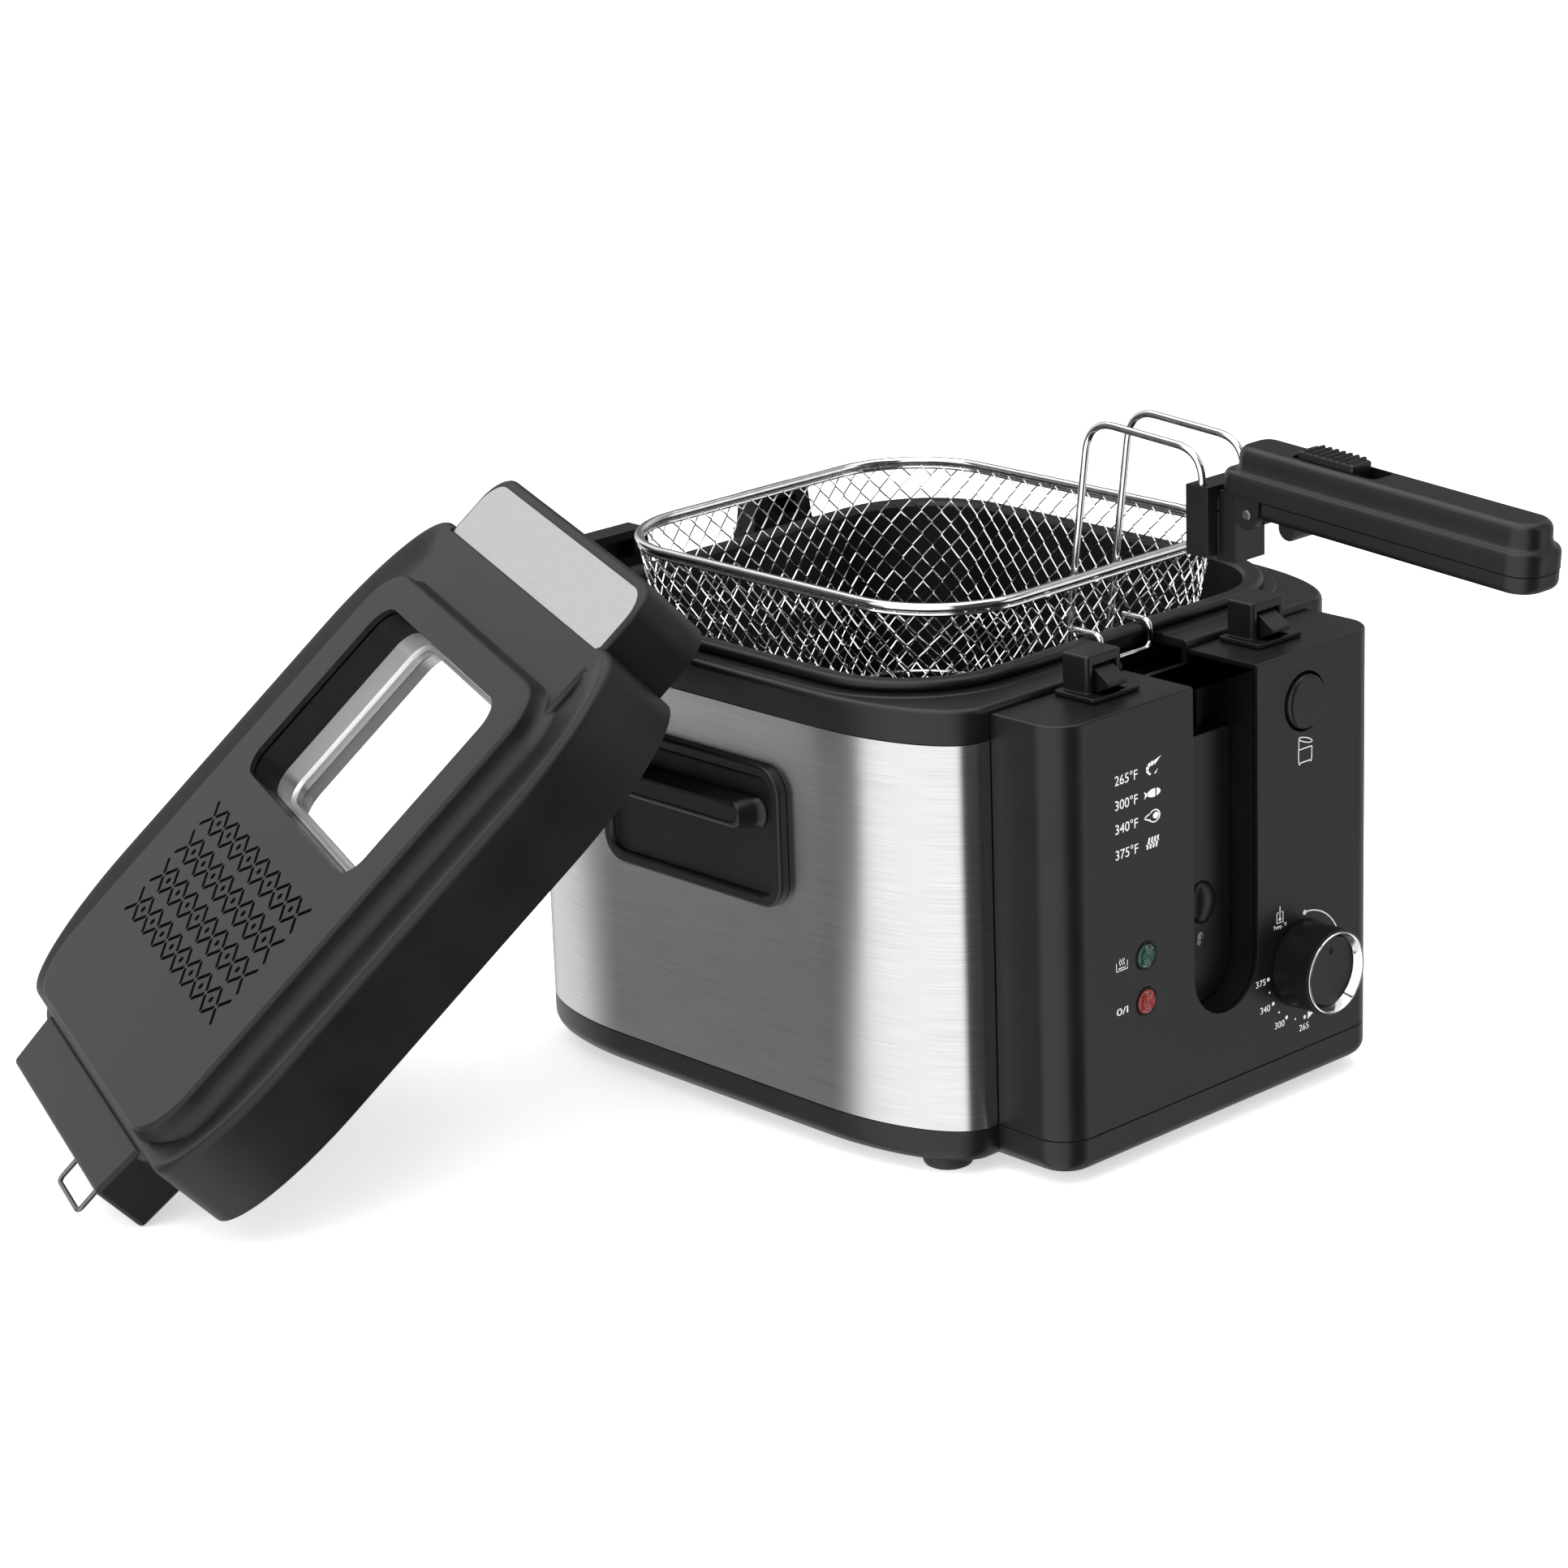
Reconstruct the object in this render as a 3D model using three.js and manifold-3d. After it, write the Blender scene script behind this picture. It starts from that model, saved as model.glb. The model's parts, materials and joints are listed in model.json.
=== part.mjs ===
// Household deep fryer, shown with its lid off and leaning on the left side, and its basket hooked
// over the pot's rim to drain. Millimetres, +Z up, front towards -Y. The fryer's own frame has its
// origin on the table under the middle of the housing; the finished group is shifted so that the
// origin is under the middle of everything, the leaning lid and the basket's handle included.
import * as THREE from "three";
import { mergeVertices } from "three/addons/utils/BufferGeometryUtils.js";
import Module from "manifold-3d";

const wasm = await Module();
wasm.setup();

// ---------------------------------------------------------------- driving dimensions
const GAP = 0.3; // clearance between pieces that touch
const SHEET = 1; // pressed sheet metal
const WALL = 2.5; // moulded plastic wall
const DEG = Math.PI / 180;

const BODY_HALF = 140.5; // half the width of the steel body
const BODY_FRONT = -121.5;
const BODY_BACK = 162.5;
const BODY_RX = 32; // the body's corners are quarter ellipses
const BODY_RY = 75;
const FOOT_TOP = 6;
const TRAY_TOP = 22;
const WRAP_TOP = 199;
const DECK_TOP = 214.5;

const PANEL_FRONT = -162.5; // front face of the control housing
const PANEL_HALF = 105;
const PANEL_TOP = 211;
const PANEL_CORNER = 16;
const SLOT_HALF = 21.1; // slot that the folded basket handle hangs in
const SLOT_CENTRE = 76.3; // height of the middle of its round lower end
const LINER_BACK = -132;
const SLOT_SHELF = 181; // top of the raised panel in the slot
const SLOT_PANEL = -147; // its face

const POT_HALF = 121; // inside of the pot at its rim
const POT_FRONT = -92.5;
const POT_BACK = 142;
const POT_CORNER = 46;
const POT_FLOOR = 74;
const RIM_WIDTH = 9.5;
const RIM_LOW = 214.9;
const RIM_HIGH = 220.2;

const BASKET_HALF = 103;
const BASKET_FRONT = -91.5;
const BASKET_BACK = 131.7;
const BASKET_CORNER = 48;
const BASKET_TOP = 246;
const BASKET_FLOOR = 142;
const BASKET_TAPER = 0.85;
const WIRE = 1.5; // radius of the basket's thick wires
const WIRE_X = 13.5; // the two handle wires stand this far each side of the middle

const LATCH_X = 53.7;
const POST_TOP = 230;
const HINGE_X = 53.5;
const LAMP_X = -53;
const LAMP_Z = { green: 96.4, red: 75.3 };
const BUTTON = { x: 53.4, z: 187, hole: 13.7 };
const KNOB = { x: 50.9, z: 64.2, radius: 19.7, proud: 19.5 };
const CARRY = { y: 28, z: 143, halfY: 59, halfZ: 33, corner: 13 };

const PIVOT_Y = -187; // axis that the basket handle folds on
const PIVOT_Z = 290;
const HANDLE_TILT = 4;
const HANDLE_HALF = 15;
const HANDLE_LENGTH = 148;

// The lid is drawn closed, in the fryer's frame, with the metal plate's back edge at LID_Y.
const LID_Y = -126;
const LID_Z = 253.5; // level of the lid's metal plate when closed
const LID_HALF = 141.5;
const LID_SKIRT = 38;
const LID_PLATEAU = 9.3;
const LID_PLACE = [-174.3, 101, 241.2]; // where the plate's back edge lies on the leaning lid
const LID_TURN = 66.44;
const LID_TILT = 43.24;
const LID_ROLL = 2.38;

const SHIFT = [130.1, 17.2, 0]; // from the fryer's frame to the finished frame

// ---------------------------------------------------------------- finishes
const finish = (color, roughness, metalness = 0) =>
  new THREE.MeshStandardMaterial({ color, roughness, metalness });
const satinBlack = finish(0x1b1b1c, 0.5);
const lidBlack = finish(0x343436, 0.6);
const brushedSteel = finish(0xb4b4b6, 0.33, 1);
const plainSteel = finish(0x9a9b9d, 0.45, 1);
const chrome = finish(0xd8d8da, 0.12, 1);
const paleMetal = finish(0xd9d9db, 0.4, 1);
const nonStick = finish(0x151515, 0.55, 0.2);
const rubber = finish(0x101010, 0.85);
const glass = new THREE.MeshStandardMaterial({
  color: 0xf2f5f5,
  roughness: 0.05,
  transparent: true,
  opacity: 0.35,
});
const greenLens = finish(0x18352a, 0.25);
const redLens = finish(0xa51d1d, 0.25);
const ceramic = finish(0xe4dfd2, 0.6);

// ---------------------------------------------------------------- solids
function toSolid(geometry) {
  const bare = geometry.clone();
  bare.deleteAttribute("normal");
  bare.deleteAttribute("uv");
  const merged = mergeVertices(bare, 1e-4);
  const mesh = new wasm.Mesh({
    numProp: 3,
    vertProperties: merged.attributes.position.array,
    triVerts: new Uint32Array(merged.index.array),
  });
  return new wasm.Manifold(mesh);
}

function toGeometry(solid) {
  const mesh = solid.getMesh();
  const geometry = new THREE.BufferGeometry();
  const positions = new THREE.BufferAttribute(mesh.vertProperties, 3);
  geometry.setAttribute("position", positions);
  geometry.setIndex(new THREE.BufferAttribute(mesh.triVerts, 1));
  geometry.computeVertexNormals();
  return geometry;
}

function cut(body, ...tools) {
  const solid = tools.reduce((left, tool) => left.subtract(toSolid(tool)), toSolid(body));
  return toGeometry(solid);
}

function join(...pieces) {
  const solids = pieces.map(toSolid);
  return toGeometry(solids.slice(1).reduce((left, next) => left.add(next), solids[0]));
}

const common = (a, b) => toGeometry(toSolid(a).intersect(toSolid(b)));

function part(name, geometry, material) {
  const mesh = new THREE.Mesh(geometry, material);
  mesh.name = name;
  return mesh;
}

// ---------------------------------------------------------------- outlines
// A rectangle with quarter-ellipse corners.
function rounded(left, right, front, back, rx, ry = rx) {
  const shape = new THREE.Shape();
  shape.moveTo(right, front + ry);
  shape.lineTo(right, back - ry);
  shape.absellipse(right - rx, back - ry, rx, ry, 0, Math.PI / 2, false);
  shape.lineTo(left + rx, back);
  shape.absellipse(left + rx, back - ry, rx, ry, Math.PI / 2, Math.PI, false);
  shape.lineTo(left, front + ry);
  shape.absellipse(left + rx, front + ry, rx, ry, Math.PI, 1.5 * Math.PI, false);
  shape.lineTo(right - rx, front);
  shape.absellipse(right - rx, front + ry, rx, ry, 1.5 * Math.PI, 2 * Math.PI, false);
  return shape;
}

const centred = (x, y, halfX, halfY, r) => rounded(x - halfX, x + halfX, y - halfY, y + halfY, r);

const bodyOutline = (inset = 0) =>
  rounded(
    -BODY_HALF + inset,
    BODY_HALF - inset,
    BODY_FRONT + inset,
    BODY_BACK - inset,
    BODY_RX - inset,
    BODY_RY - inset,
  );

const potOutline = (grow) =>
  rounded(
    -POT_HALF - grow,
    POT_HALF + grow,
    POT_FRONT - grow,
    POT_BACK + grow,
    POT_CORNER + grow,
  );

const basketOutline = (grow) =>
  rounded(
    -BASKET_HALF - grow,
    BASKET_HALF + grow,
    BASKET_FRONT - grow,
    BASKET_BACK + grow,
    BASKET_CORNER + grow,
  );

// The control housing's plan: square at the back, round at the front corners.
function panelOutline(inset = 0, back = BODY_FRONT - GAP) {
  const half = PANEL_HALF - inset;
  const front = PANEL_FRONT + inset;
  const r = PANEL_CORNER - inset;
  const shape = new THREE.Shape();
  shape.moveTo(half, back);
  shape.lineTo(-half, back);
  shape.lineTo(-half, front + r);
  shape.absarc(-half + r, front + r, r, Math.PI, 1.5 * Math.PI, false);
  shape.lineTo(half - r, front);
  shape.absarc(half - r, front + r, r, 1.5 * Math.PI, 2 * Math.PI, false);
  return shape;
}

// The slot seen from the front: open at the top, a half circle below.
function slotOutline(half, top) {
  const shape = new THREE.Shape();
  shape.moveTo(half, SLOT_CENTRE);
  shape.lineTo(half, top);
  shape.lineTo(-half, top);
  shape.lineTo(-half, SLOT_CENTRE);
  shape.absarc(0, SLOT_CENTRE, half, Math.PI, 2 * Math.PI, false);
  return shape;
}

const polygon = (points) => new THREE.Shape(points.map(([x, y]) => new THREE.Vector2(x, y)));

function withHole(shape, hole) {
  shape.holes.push(hole);
  return shape;
}

// ---------------------------------------------------------------- solids from outlines
function extruded(shape, depth, bevel, curve) {
  return new THREE.ExtrudeGeometry(shape, {
    depth: depth - 2 * bevel,
    bevelEnabled: bevel > 0,
    bevelThickness: bevel,
    bevelSize: bevel,
    bevelOffset: -bevel,
    bevelSegments: bevel > 2 ? 2 : 1,
    curveSegments: curve,
  }).translate(0, 0, bevel);
}

// An outline in plan, standing between two heights.
const upright = (shape, low, high, bevel = 0, curve = 4) =>
  extruded(shape, high - low, bevel, curve).translate(0, 0, low);

// An outline seen from the front (x, z), between two places along Y.
function facing(shape, front, back, bevel = 0, curve = 4) {
  const turn = new THREE.Matrix4().makeBasis(
    new THREE.Vector3(1, 0, 0),
    new THREE.Vector3(0, 0, 1),
    new THREE.Vector3(0, -1, 0),
  );
  return extruded(shape, back - front, bevel, curve).applyMatrix4(turn).translate(0, back, 0);
}

// An outline seen from the side (y, z), between two places along X.
function sideways(shape, left, right, bevel = 0, curve = 4) {
  const turn = new THREE.Matrix4().makeBasis(
    new THREE.Vector3(0, 1, 0),
    new THREE.Vector3(0, 0, 1),
    new THREE.Vector3(1, 0, 0),
  );
  return extruded(shape, right - left, bevel, curve).applyMatrix4(turn).translate(left, 0, 0);
}

function block(x0, x1, y0, y1, z0, z1) {
  const box = new THREE.BoxGeometry(x1 - x0, y1 - y0, z1 - z0);
  return box.translate((x0 + x1) / 2, (y0 + y1) / 2, (z0 + z1) / 2);
}

// A turned piece about +Z: profile points are [radius, height] from the lower end of the axis up.
function turned(profile, sides = 24) {
  const points = profile.map(([r, h]) => new THREE.Vector2(r, h));
  return new THREE.LatheGeometry(points, sides).rotateX(Math.PI / 2);
}

// The same, standing out of the front: its axis points to -Y.
const turnedFront = (profile, sides) => turned(profile, sides).rotateX(Math.PI / 2);

// A wire along straight runs that meet in rounded bends.
function bentWire(corners, radius, bend, steps, sides = 6) {
  const points = corners.map((c) => new THREE.Vector3(...c));
  const path = new THREE.CurvePath();
  let from = points[0];
  for (let i = 1; i < points.length - 1; i++) {
    const into = points[i].clone().add(from.clone().sub(points[i]).setLength(bend));
    const out = points[i].clone().add(points[i + 1].clone().sub(points[i]).setLength(bend));
    path.add(new THREE.LineCurve3(from, into));
    path.add(new THREE.QuadraticBezierCurve3(into, points[i], out));
    from = out;
  }
  path.add(new THREE.LineCurve3(from, points[points.length - 1]));
  const section = new THREE.Shape();
  section.absarc(0, 0, radius, 0, 2 * Math.PI, false);
  return new THREE.ExtrudeGeometry(section, {
    steps,
    extrudePath: path,
    bevelEnabled: false,
    curveSegments: sides / 2,
  });
}

// Draws an upright solid in towards (0, y), evenly from full width at `high` to a share of it at `low`.
function tapered(geometry, y, low, high, share) {
  const at = geometry.attributes.position;
  for (let i = 0; i < at.count; i++) {
    const scale = 1 - ((1 - share) * (high - at.getZ(i))) / (high - low);
    at.setX(i, at.getX(i) * scale);
    at.setY(i, y + (at.getY(i) - y) * scale);
  }
  return geometry;
}

// ---------------------------------------------------------------- housing
// A boss on the tray's floor that holds the heat pan up.
const panStand = (x, y) =>
  upright(centred(x, y, 6, 6, 2), FOOT_TOP + GAP + 1, POT_FLOOR - 14 - GAP, 0, 2);

function baseTray() {
  const low = FOOT_TOP + GAP;
  const outer = join(
    upright(bodyOutline(), low, TRAY_TOP, 5),
    upright(panelOutline(0, BODY_FRONT + 40), low, TRAY_TOP, 5),
  );
  const inner = join(
    upright(bodyOutline(WALL), low + WALL, TRAY_TOP + 1),
    upright(panelOutline(WALL, BODY_FRONT + 40), low + WALL, TRAY_TOP + 1),
  );
  const bosses = [-70, 70].flatMap((x) => [-40, 90].map((y) => panStand(x, y)));
  return join(cut(outer, inner), ...bosses);
}

function feet() {
  const group = new THREE.Group();
  const profile = [
    [0, 0],
    [10.5, 0],
    [11.5, 1.5],
    [11.5, FOOT_TOP],
    [0, FOOT_TOP],
  ];
  for (const [sideName, x] of [["left", -1], ["right", 1]]) {
    for (const [endName, y] of [["front", -97], ["back", 128]]) {
      const foot = part(`foot_${endName}_${sideName}`, turned(profile, 16), rubber);
      foot.position.set(x * 112, y, 0);
      group.add(foot);
    }
  }
  return group;
}

function sideWrap() {
  const outline = withHole(bodyOutline(), bodyOutline(SHEET));
  return upright(outline, TRAY_TOP + GAP, WRAP_TOP - GAP, 0, 4);
}

function heatPan() {
  const outer = upright(potOutline(7), POT_FLOOR - 14, WRAP_TOP - 1);
  const inner = upright(potOutline(7 - SHEET), POT_FLOOR - 14 + SHEET, WRAP_TOP);
  return cut(outer, inner);
}

function topDeck() {
  const shell = upright(bodyOutline(), WRAP_TOP, DECK_TOP, 3.5, 4);
  const under = upright(bodyOutline(3), WRAP_TOP - 1, DECK_TOP - 4);
  const mouth = upright(potOutline(2.6), WRAP_TOP - 2, DECK_TOP + 1, 0, 4);
  const lip = withHole(potOutline(5), potOutline(2.6));
  const hookRoom = block(-SLOT_HALF, SLOT_HALF, BODY_FRONT - 5, POT_FRONT - 6, 204, DECK_TOP + 5);
  return join(cut(shell, under, mouth, hookRoom), upright(lip, WRAP_TOP + 2, DECK_TOP - 3.9));
}

function controlHousing() {
  const low = TRAY_TOP + GAP;
  const shell = upright(panelOutline(), low, PANEL_TOP, 1.2, 4);
  const inside = upright(panelOutline(WALL, BODY_FRONT + 3), low + WALL, PANEL_TOP - WALL);
  const slot = facing(slotOutline(SLOT_HALF, PANEL_TOP + 5), PANEL_FRONT - 5, BODY_FRONT + 5);
  const holes = [
    [BUTTON.x, BUTTON.z, BUTTON.hole],
    [KNOB.x, KNOB.z, 4],
    [LAMP_X, LAMP_Z.green, 6.4],
    [LAMP_X, LAMP_Z.red, 6.4],
  ].map(([x, z, r]) =>
    new THREE.CylinderGeometry(r, r, 20, 24).translate(x, PANEL_FRONT, z),
  );
  const postHoles = [-1, 1].map((side) =>
    block(side * LATCH_X - 7, side * LATCH_X + 7, -146, -126.8, PANEL_TOP - 5, PANEL_TOP + 5),
  );
  return cut(shell, inside, slot, ...holes, ...postHoles);
}

function slotLiner() {
  const top = PANEL_TOP - WALL - GAP;
  const front = PANEL_FRONT + WALL + GAP;
  const outer = facing(slotOutline(SLOT_HALF + 2, top), front, LINER_BACK);
  const inner = facing(slotOutline(SLOT_HALF, top + 5), front - 5, LINER_BACK - 2);
  return cut(outer, inner);
}

function slotPanel() {
  const back = LINER_BACK - 2 - GAP;
  const plate = facing(slotOutline(SLOT_HALF - GAP, SLOT_SHELF), SLOT_PANEL, back, 1.2);
  const dome = new THREE.SphereGeometry(6.5, 16, 8).scale(1, 0.6, 1.5);
  const rib = block(7, 11, back - 5, back, SLOT_SHELF - 2, 200);
  return join(plate, dome.translate(0, SLOT_PANEL, 103), rib);
}

function slotScrew() {
  const head = [[0, 0], [3.2, 0], [3.2, 0.9], [1.6, 1.7], [0, 1.7]];
  return turnedFront(head, 12).translate(0, SLOT_PANEL - GAP, 86);
}

function cordGland() {
  const collar = [
    [0, 0],
    [11, 0],
    [11, 3],
    [7, 4],
    [5.5, 16],
    [0, 16],
  ];
  const bore = new THREE.CylinderGeometry(3.6, 3.6, 60, 16).rotateX(Math.PI / 2);
  return cut(turned(collar, 20), bore)
    .rotateX(-Math.PI / 2)
    .translate(-75, BODY_BACK + GAP, 42);
}

// ---------------------------------------------------------------- pot and heater
function oilPot() {
  const middle = (POT_FRONT + POT_BACK) / 2;
  const deep = (grow, low, bevel) =>
    tapered(upright(potOutline(grow), low, RIM_HIGH + 30, bevel), middle, low, RIM_LOW, 0.95);
  const rim = upright(potOutline(RIM_WIDTH), RIM_LOW, RIM_HIGH, 2.4);
  const outer = common(
    deep(1.6, POT_FLOOR, 12),
    block(-200, 200, -200, 200, 0, RIM_HIGH - 1),
  );
  return cut(join(outer, rim), deep(0, POT_FLOOR + 1.6, 12));
}

function heatingElement() {
  const ring = new THREE.TorusGeometry(78, 4, 6, 28);
  return ring.translate(0, 25, POT_FLOOR - 14 + SHEET + GAP + 4);
}

// ---------------------------------------------------------------- controls
function thermostat() {
  const body = block(KNOB.x - 15, KNOB.x + 15, -154, -134, KNOB.z - 13, KNOB.z + 13);
  const front = PANEL_FRONT + WALL + GAP;
  const ears = block(KNOB.x - 22, KNOB.x + 22, front, -153, KNOB.z - 5, KNOB.z + 5);
  const shaftHole = new THREE.CylinderGeometry(3.4, 3.4, 40, 16).translate(KNOB.x, -162, KNOB.z);
  return cut(join(body, ears), shaftHole);
}

function knobShaft() {
  const shaft = new THREE.CylinderGeometry(3, 3, 22, 16);
  return shaft.translate(KNOB.x, PANEL_FRONT + 4, KNOB.z);
}

function knobBarrel() {
  const barrel = [
    [0, GAP],
    [20.2, GAP],
    [20.2, 2.5],
    [18.2, 4],
    [17.6, KNOB.proud - 4],
    [0, KNOB.proud - 4],
  ];
  const socket = new THREE.CylinderGeometry(3.3, 3.3, 15, 16);
  const body = turnedFront(barrel, 32).translate(KNOB.x, PANEL_FRONT, KNOB.z);
  return cut(body, socket.translate(KNOB.x, PANEL_FRONT, KNOB.z));
}

function knobRing() {
  const front = KNOB.proud;
  const back = front - 4 + GAP;
  const section = [
    [16.2, back],
    [KNOB.radius, back],
    [KNOB.radius, front - 1],
    [KNOB.radius - 1, front],
    [17, front],
    [16.2, front - 1],
    [16.2, back],
  ];
  return turnedFront(section, 32).translate(KNOB.x, PANEL_FRONT, KNOB.z);
}

function knobFace() {
  const back = KNOB.proud - 4 + GAP;
  const disc = [
    [0, back],
    [15.9, back],
    [15.9, KNOB.proud - 1.6],
    [0, KNOB.proud - 1.2],
  ];
  const dimple = new THREE.SphereGeometry(2.2, 12, 8).translate(0, -KNOB.proud + 0.2, 10.5);
  return cut(turnedFront(disc, 32), dimple).translate(KNOB.x, PANEL_FRONT, KNOB.z);
}

function lamp(z) {
  const lens = [
    [0, -4],
    [5.9, -4],
    [5.9, 0.4],
    [4.6, 1.4],
    [0, 1.9],
  ];
  return turnedFront(lens, 20).translate(LAMP_X, PANEL_FRONT, z);
}

function lampBody(z) {
  const holder = [
    [0, 0],
    [5.2, 0],
    [5.2, 14],
    [0, 14],
  ];
  return turnedFront(holder, 12).translate(LAMP_X, PANEL_FRONT + 4 + GAP + 14, z);
}

// ---------------------------------------------------------------- lid latches
function releaseButton() {
  const cap = [
    [0, -14],
    [9, -14],
    [9, -4],
    [12.9, -4],
    [12.9, 1.2],
    [12.2, 2],
    [0, 2.3],
  ];
  return turnedFront(cap, 28).translate(BUTTON.x, PANEL_FRONT, BUTTON.z);
}

// A plate behind the slot liner carries both latch hooks.
function latchSlide() {
  const back = LINER_BACK + 3;
  const plate = block(-LATCH_X - 7, LATCH_X + 7, LINER_BACK + GAP, back, 192, 204);
  const pad = block(BUTTON.x - 7, BUTTON.x + 7, -148.2, back, 181, 193);
  const arms = [-1, 1].map((side) =>
    block(side * LATCH_X - 5, side * LATCH_X + 5, -137, back, 200, 205),
  );
  return join(plate, pad, ...arms);
}

// A stem with a wedge on top whose beak points forward.
function latchHook(side) {
  const profile = polygon([
    [-137, 205 + GAP],
    [-131, 205 + GAP],
    [-131, 223.5],
    [-137, 223.5],
    [-145.5, 217.5],
    [-145.5, 214.5],
    [-141, 213.5],
    [-137, 213.5],
  ]);
  const x = side * LATCH_X;
  return sideways(profile, x - 6, x + 6, 0);
}

function latchPost(side) {
  const x = side * LATCH_X;
  const low = PANEL_TOP + GAP;
  const flange = upright(centred(x, -136.3, 15, 11.8, 1.5), low, low + 2.1, 0, 2);
  const mast = upright(rounded(x - 11, x + 11, -141, -125.5, 2), low, POST_TOP, 0.8, 2);
  const well = block(x - 7.5, x + 7.5, -146.2, -127.2, low - 5, POST_TOP - 4.5);
  const mouth = block(x - 7.5, x + 7.5, -150, -127.2, low + 2.1, POST_TOP - 4.5);
  return cut(join(flange, mast), well, mouth);
}

function hingePost(side) {
  const x = side * HINGE_X;
  const front = BODY_BACK + GAP;
  const bracket = block(x - 20, x + 20, front, front + 24, 196, DECK_TOP - 2);
  const gusset = sideways(
    polygon([
      [front, 176],
      [front + 24, 196.5],
      [front, 196.5],
    ]),
    x - 20,
    x + 20,
  );
  const mast = facing(
    polygon([
      [x - 20, DECK_TOP - 3],
      [x + 20, DECK_TOP - 3],
      [x + 17, POST_TOP],
      [x - 17, POST_TOP],
    ]),
    front + 9,
    front + 22,
  );
  const notch = block(x - 9, x + 9, front + 5, front + 16, DECK_TOP + 2, POST_TOP - 4);
  return cut(join(bracket, gusset, mast), notch);
}

// ---------------------------------------------------------------- carrying handles
function carryPlate(side) {
  const shape = () => centred(CARRY.y, CARRY.z, CARRY.halfY, CARRY.halfZ, CARRY.corner);
  const left = BODY_HALF + GAP;
  const plate = sideways(shape(), left, left + 5, 1.5);
  const recess = centred(CARRY.y, CARRY.z, CARRY.halfY - 7, CARRY.halfZ - 6, CARRY.corner - 4);
  const geometry = cut(plate, sideways(recess, left + 2.5, left + 10));
  return side < 0 ? geometry.rotateZ(Math.PI).translate(0, 2 * CARRY.y, 0) : geometry;
}

// A bar with slanted ends, moulded as a ledge to lift by.
function carryGrip(side) {
  const root = BODY_HALF + GAP + 2.5 + GAP;
  const tip = BODY_HALF + 14.5;
  const plan = polygon([
    [root, CARRY.y - 46],
    [tip, CARRY.y - 31],
    [tip, CARRY.y + 31],
    [root, CARRY.y + 46],
  ]);
  const geometry = upright(plan, CARRY.z + 4, CARRY.z + 17, 2.4);
  return side < 0 ? geometry.rotateZ(Math.PI).translate(0, 2 * CARRY.y, 0) : geometry;
}

// ---------------------------------------------------------------- basket
function basketRim() {
  return upright(
    withHole(basketOutline(1.8), basketOutline(-1.8)),
    BASKET_TOP - 1.8,
    BASKET_TOP + 1.8,
    1,
    4,
  );
}

function basketMesh() {
  const middle = (BASKET_FRONT + BASKET_BACK) / 2;
  const top = BASKET_TOP - 1.8 - GAP;
  const shell = (grow, low, high) =>
    tapered(
      upright(basketOutline(grow), low, high, 9),
      middle,
      BASKET_FLOOR,
      BASKET_TOP,
      BASKET_TAPER,
    );
  const outer = common(shell(0.7, BASKET_FLOOR, top + 30), block(-200, 200, -200, 200, 0, top));
  return cut(outer, shell(-0.7, BASKET_FLOOR + 1.4, top + 40));
}

// Each wire rises inside the front wall, turns forward and comes down into the handle bracket.
function handleWire(side) {
  const x = side * WIRE_X;
  const corners = [
    [x, -80.5, 205],
    [x, -86.2, BASKET_TOP],
    [x, -96.2, 318],
    [x, -162.3, 313.5],
    [x, -161.3, 289.5],
  ];
  return bentWire(corners, WIRE, 13, 30);
}

function drainHook() {
  const half = 16;
  const high = RIM_HIGH + GAP + WIRE;
  const low = 209.5;
  const front = POT_FRONT - RIM_WIDTH - 0.6 - WIRE;
  const corners = [
    [-half, -91.2, high],
    [-half, front, high],
    [-half, front, low],
    [half, front, low],
    [half, front, high],
    [half, -91.2, high],
  ];
  return bentWire(corners, WIRE, 4, 36);
}

function handleBracket() {
  const clamp = block(-16.2, 16.2, -167, -154.5, 268, 299);
  const sockets = [-WIRE_X, WIRE_X].map((x) => block(x - 2, x + 2, -163.6, -158.9, 289, 300));
  const nose = block(-9.5, 9.5, -177, -166, 266, 287);
  const tongue = sideways(
    polygon([
      [-170, 284],
      [-186, 283],
      [-193, 286],
      [-194, 292],
      [-190, 296.5],
      [-168, 297],
      [-166, 290],
    ]),
    -9.5,
    9.5,
  );
  const pinHole = new THREE.CylinderGeometry(2.3, 2.3, 40, 16).rotateZ(Math.PI / 2);
  return cut(join(clamp, nose, tongue), ...sockets, pinHole.translate(0, PIVOT_Y, PIVOT_Z));
}

// ---------------------------------------------------------------- basket handle
// Drawn level about its pivot, with its length towards -Y, then tilted.
const handleSection = (half, low, high, bevel, rear, end) =>
  upright(rounded(-half, half, -end, rear, Math.min(half - 0.5, 12)), low, high, bevel, 3);

const hingeRoom = () => block(-10.1, 10.1, -13, 40, -20, 13.5);

function handleUpper() {
  const flange = handleSection(HANDLE_HALF, 7.2, 17.2, 2.4, 17, HANDLE_LENGTH);
  const ridge = handleSection(11.5, 14, 28, 4.5, 14, HANDLE_LENGTH - 3);
  const ears = [-1, 1].map((side) => {
    const ear = new THREE.CylinderGeometry(6.5, 6.5, 4, 16).rotateZ(Math.PI / 2);
    const web = block(-2, 2, -6.5, 6.5, 0, 9);
    return join(ear, web).translate(side * 12.4, 0, 0);
  });
  const recess = block(-7, 7, -61, -16, 23.6, 40);
  const pinHole = new THREE.CylinderGeometry(2.3, 2.3, 60, 16).rotateZ(Math.PI / 2);
  return cut(join(flange, ridge, ...ears), hingeRoom(), recess, pinHole);
}

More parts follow.
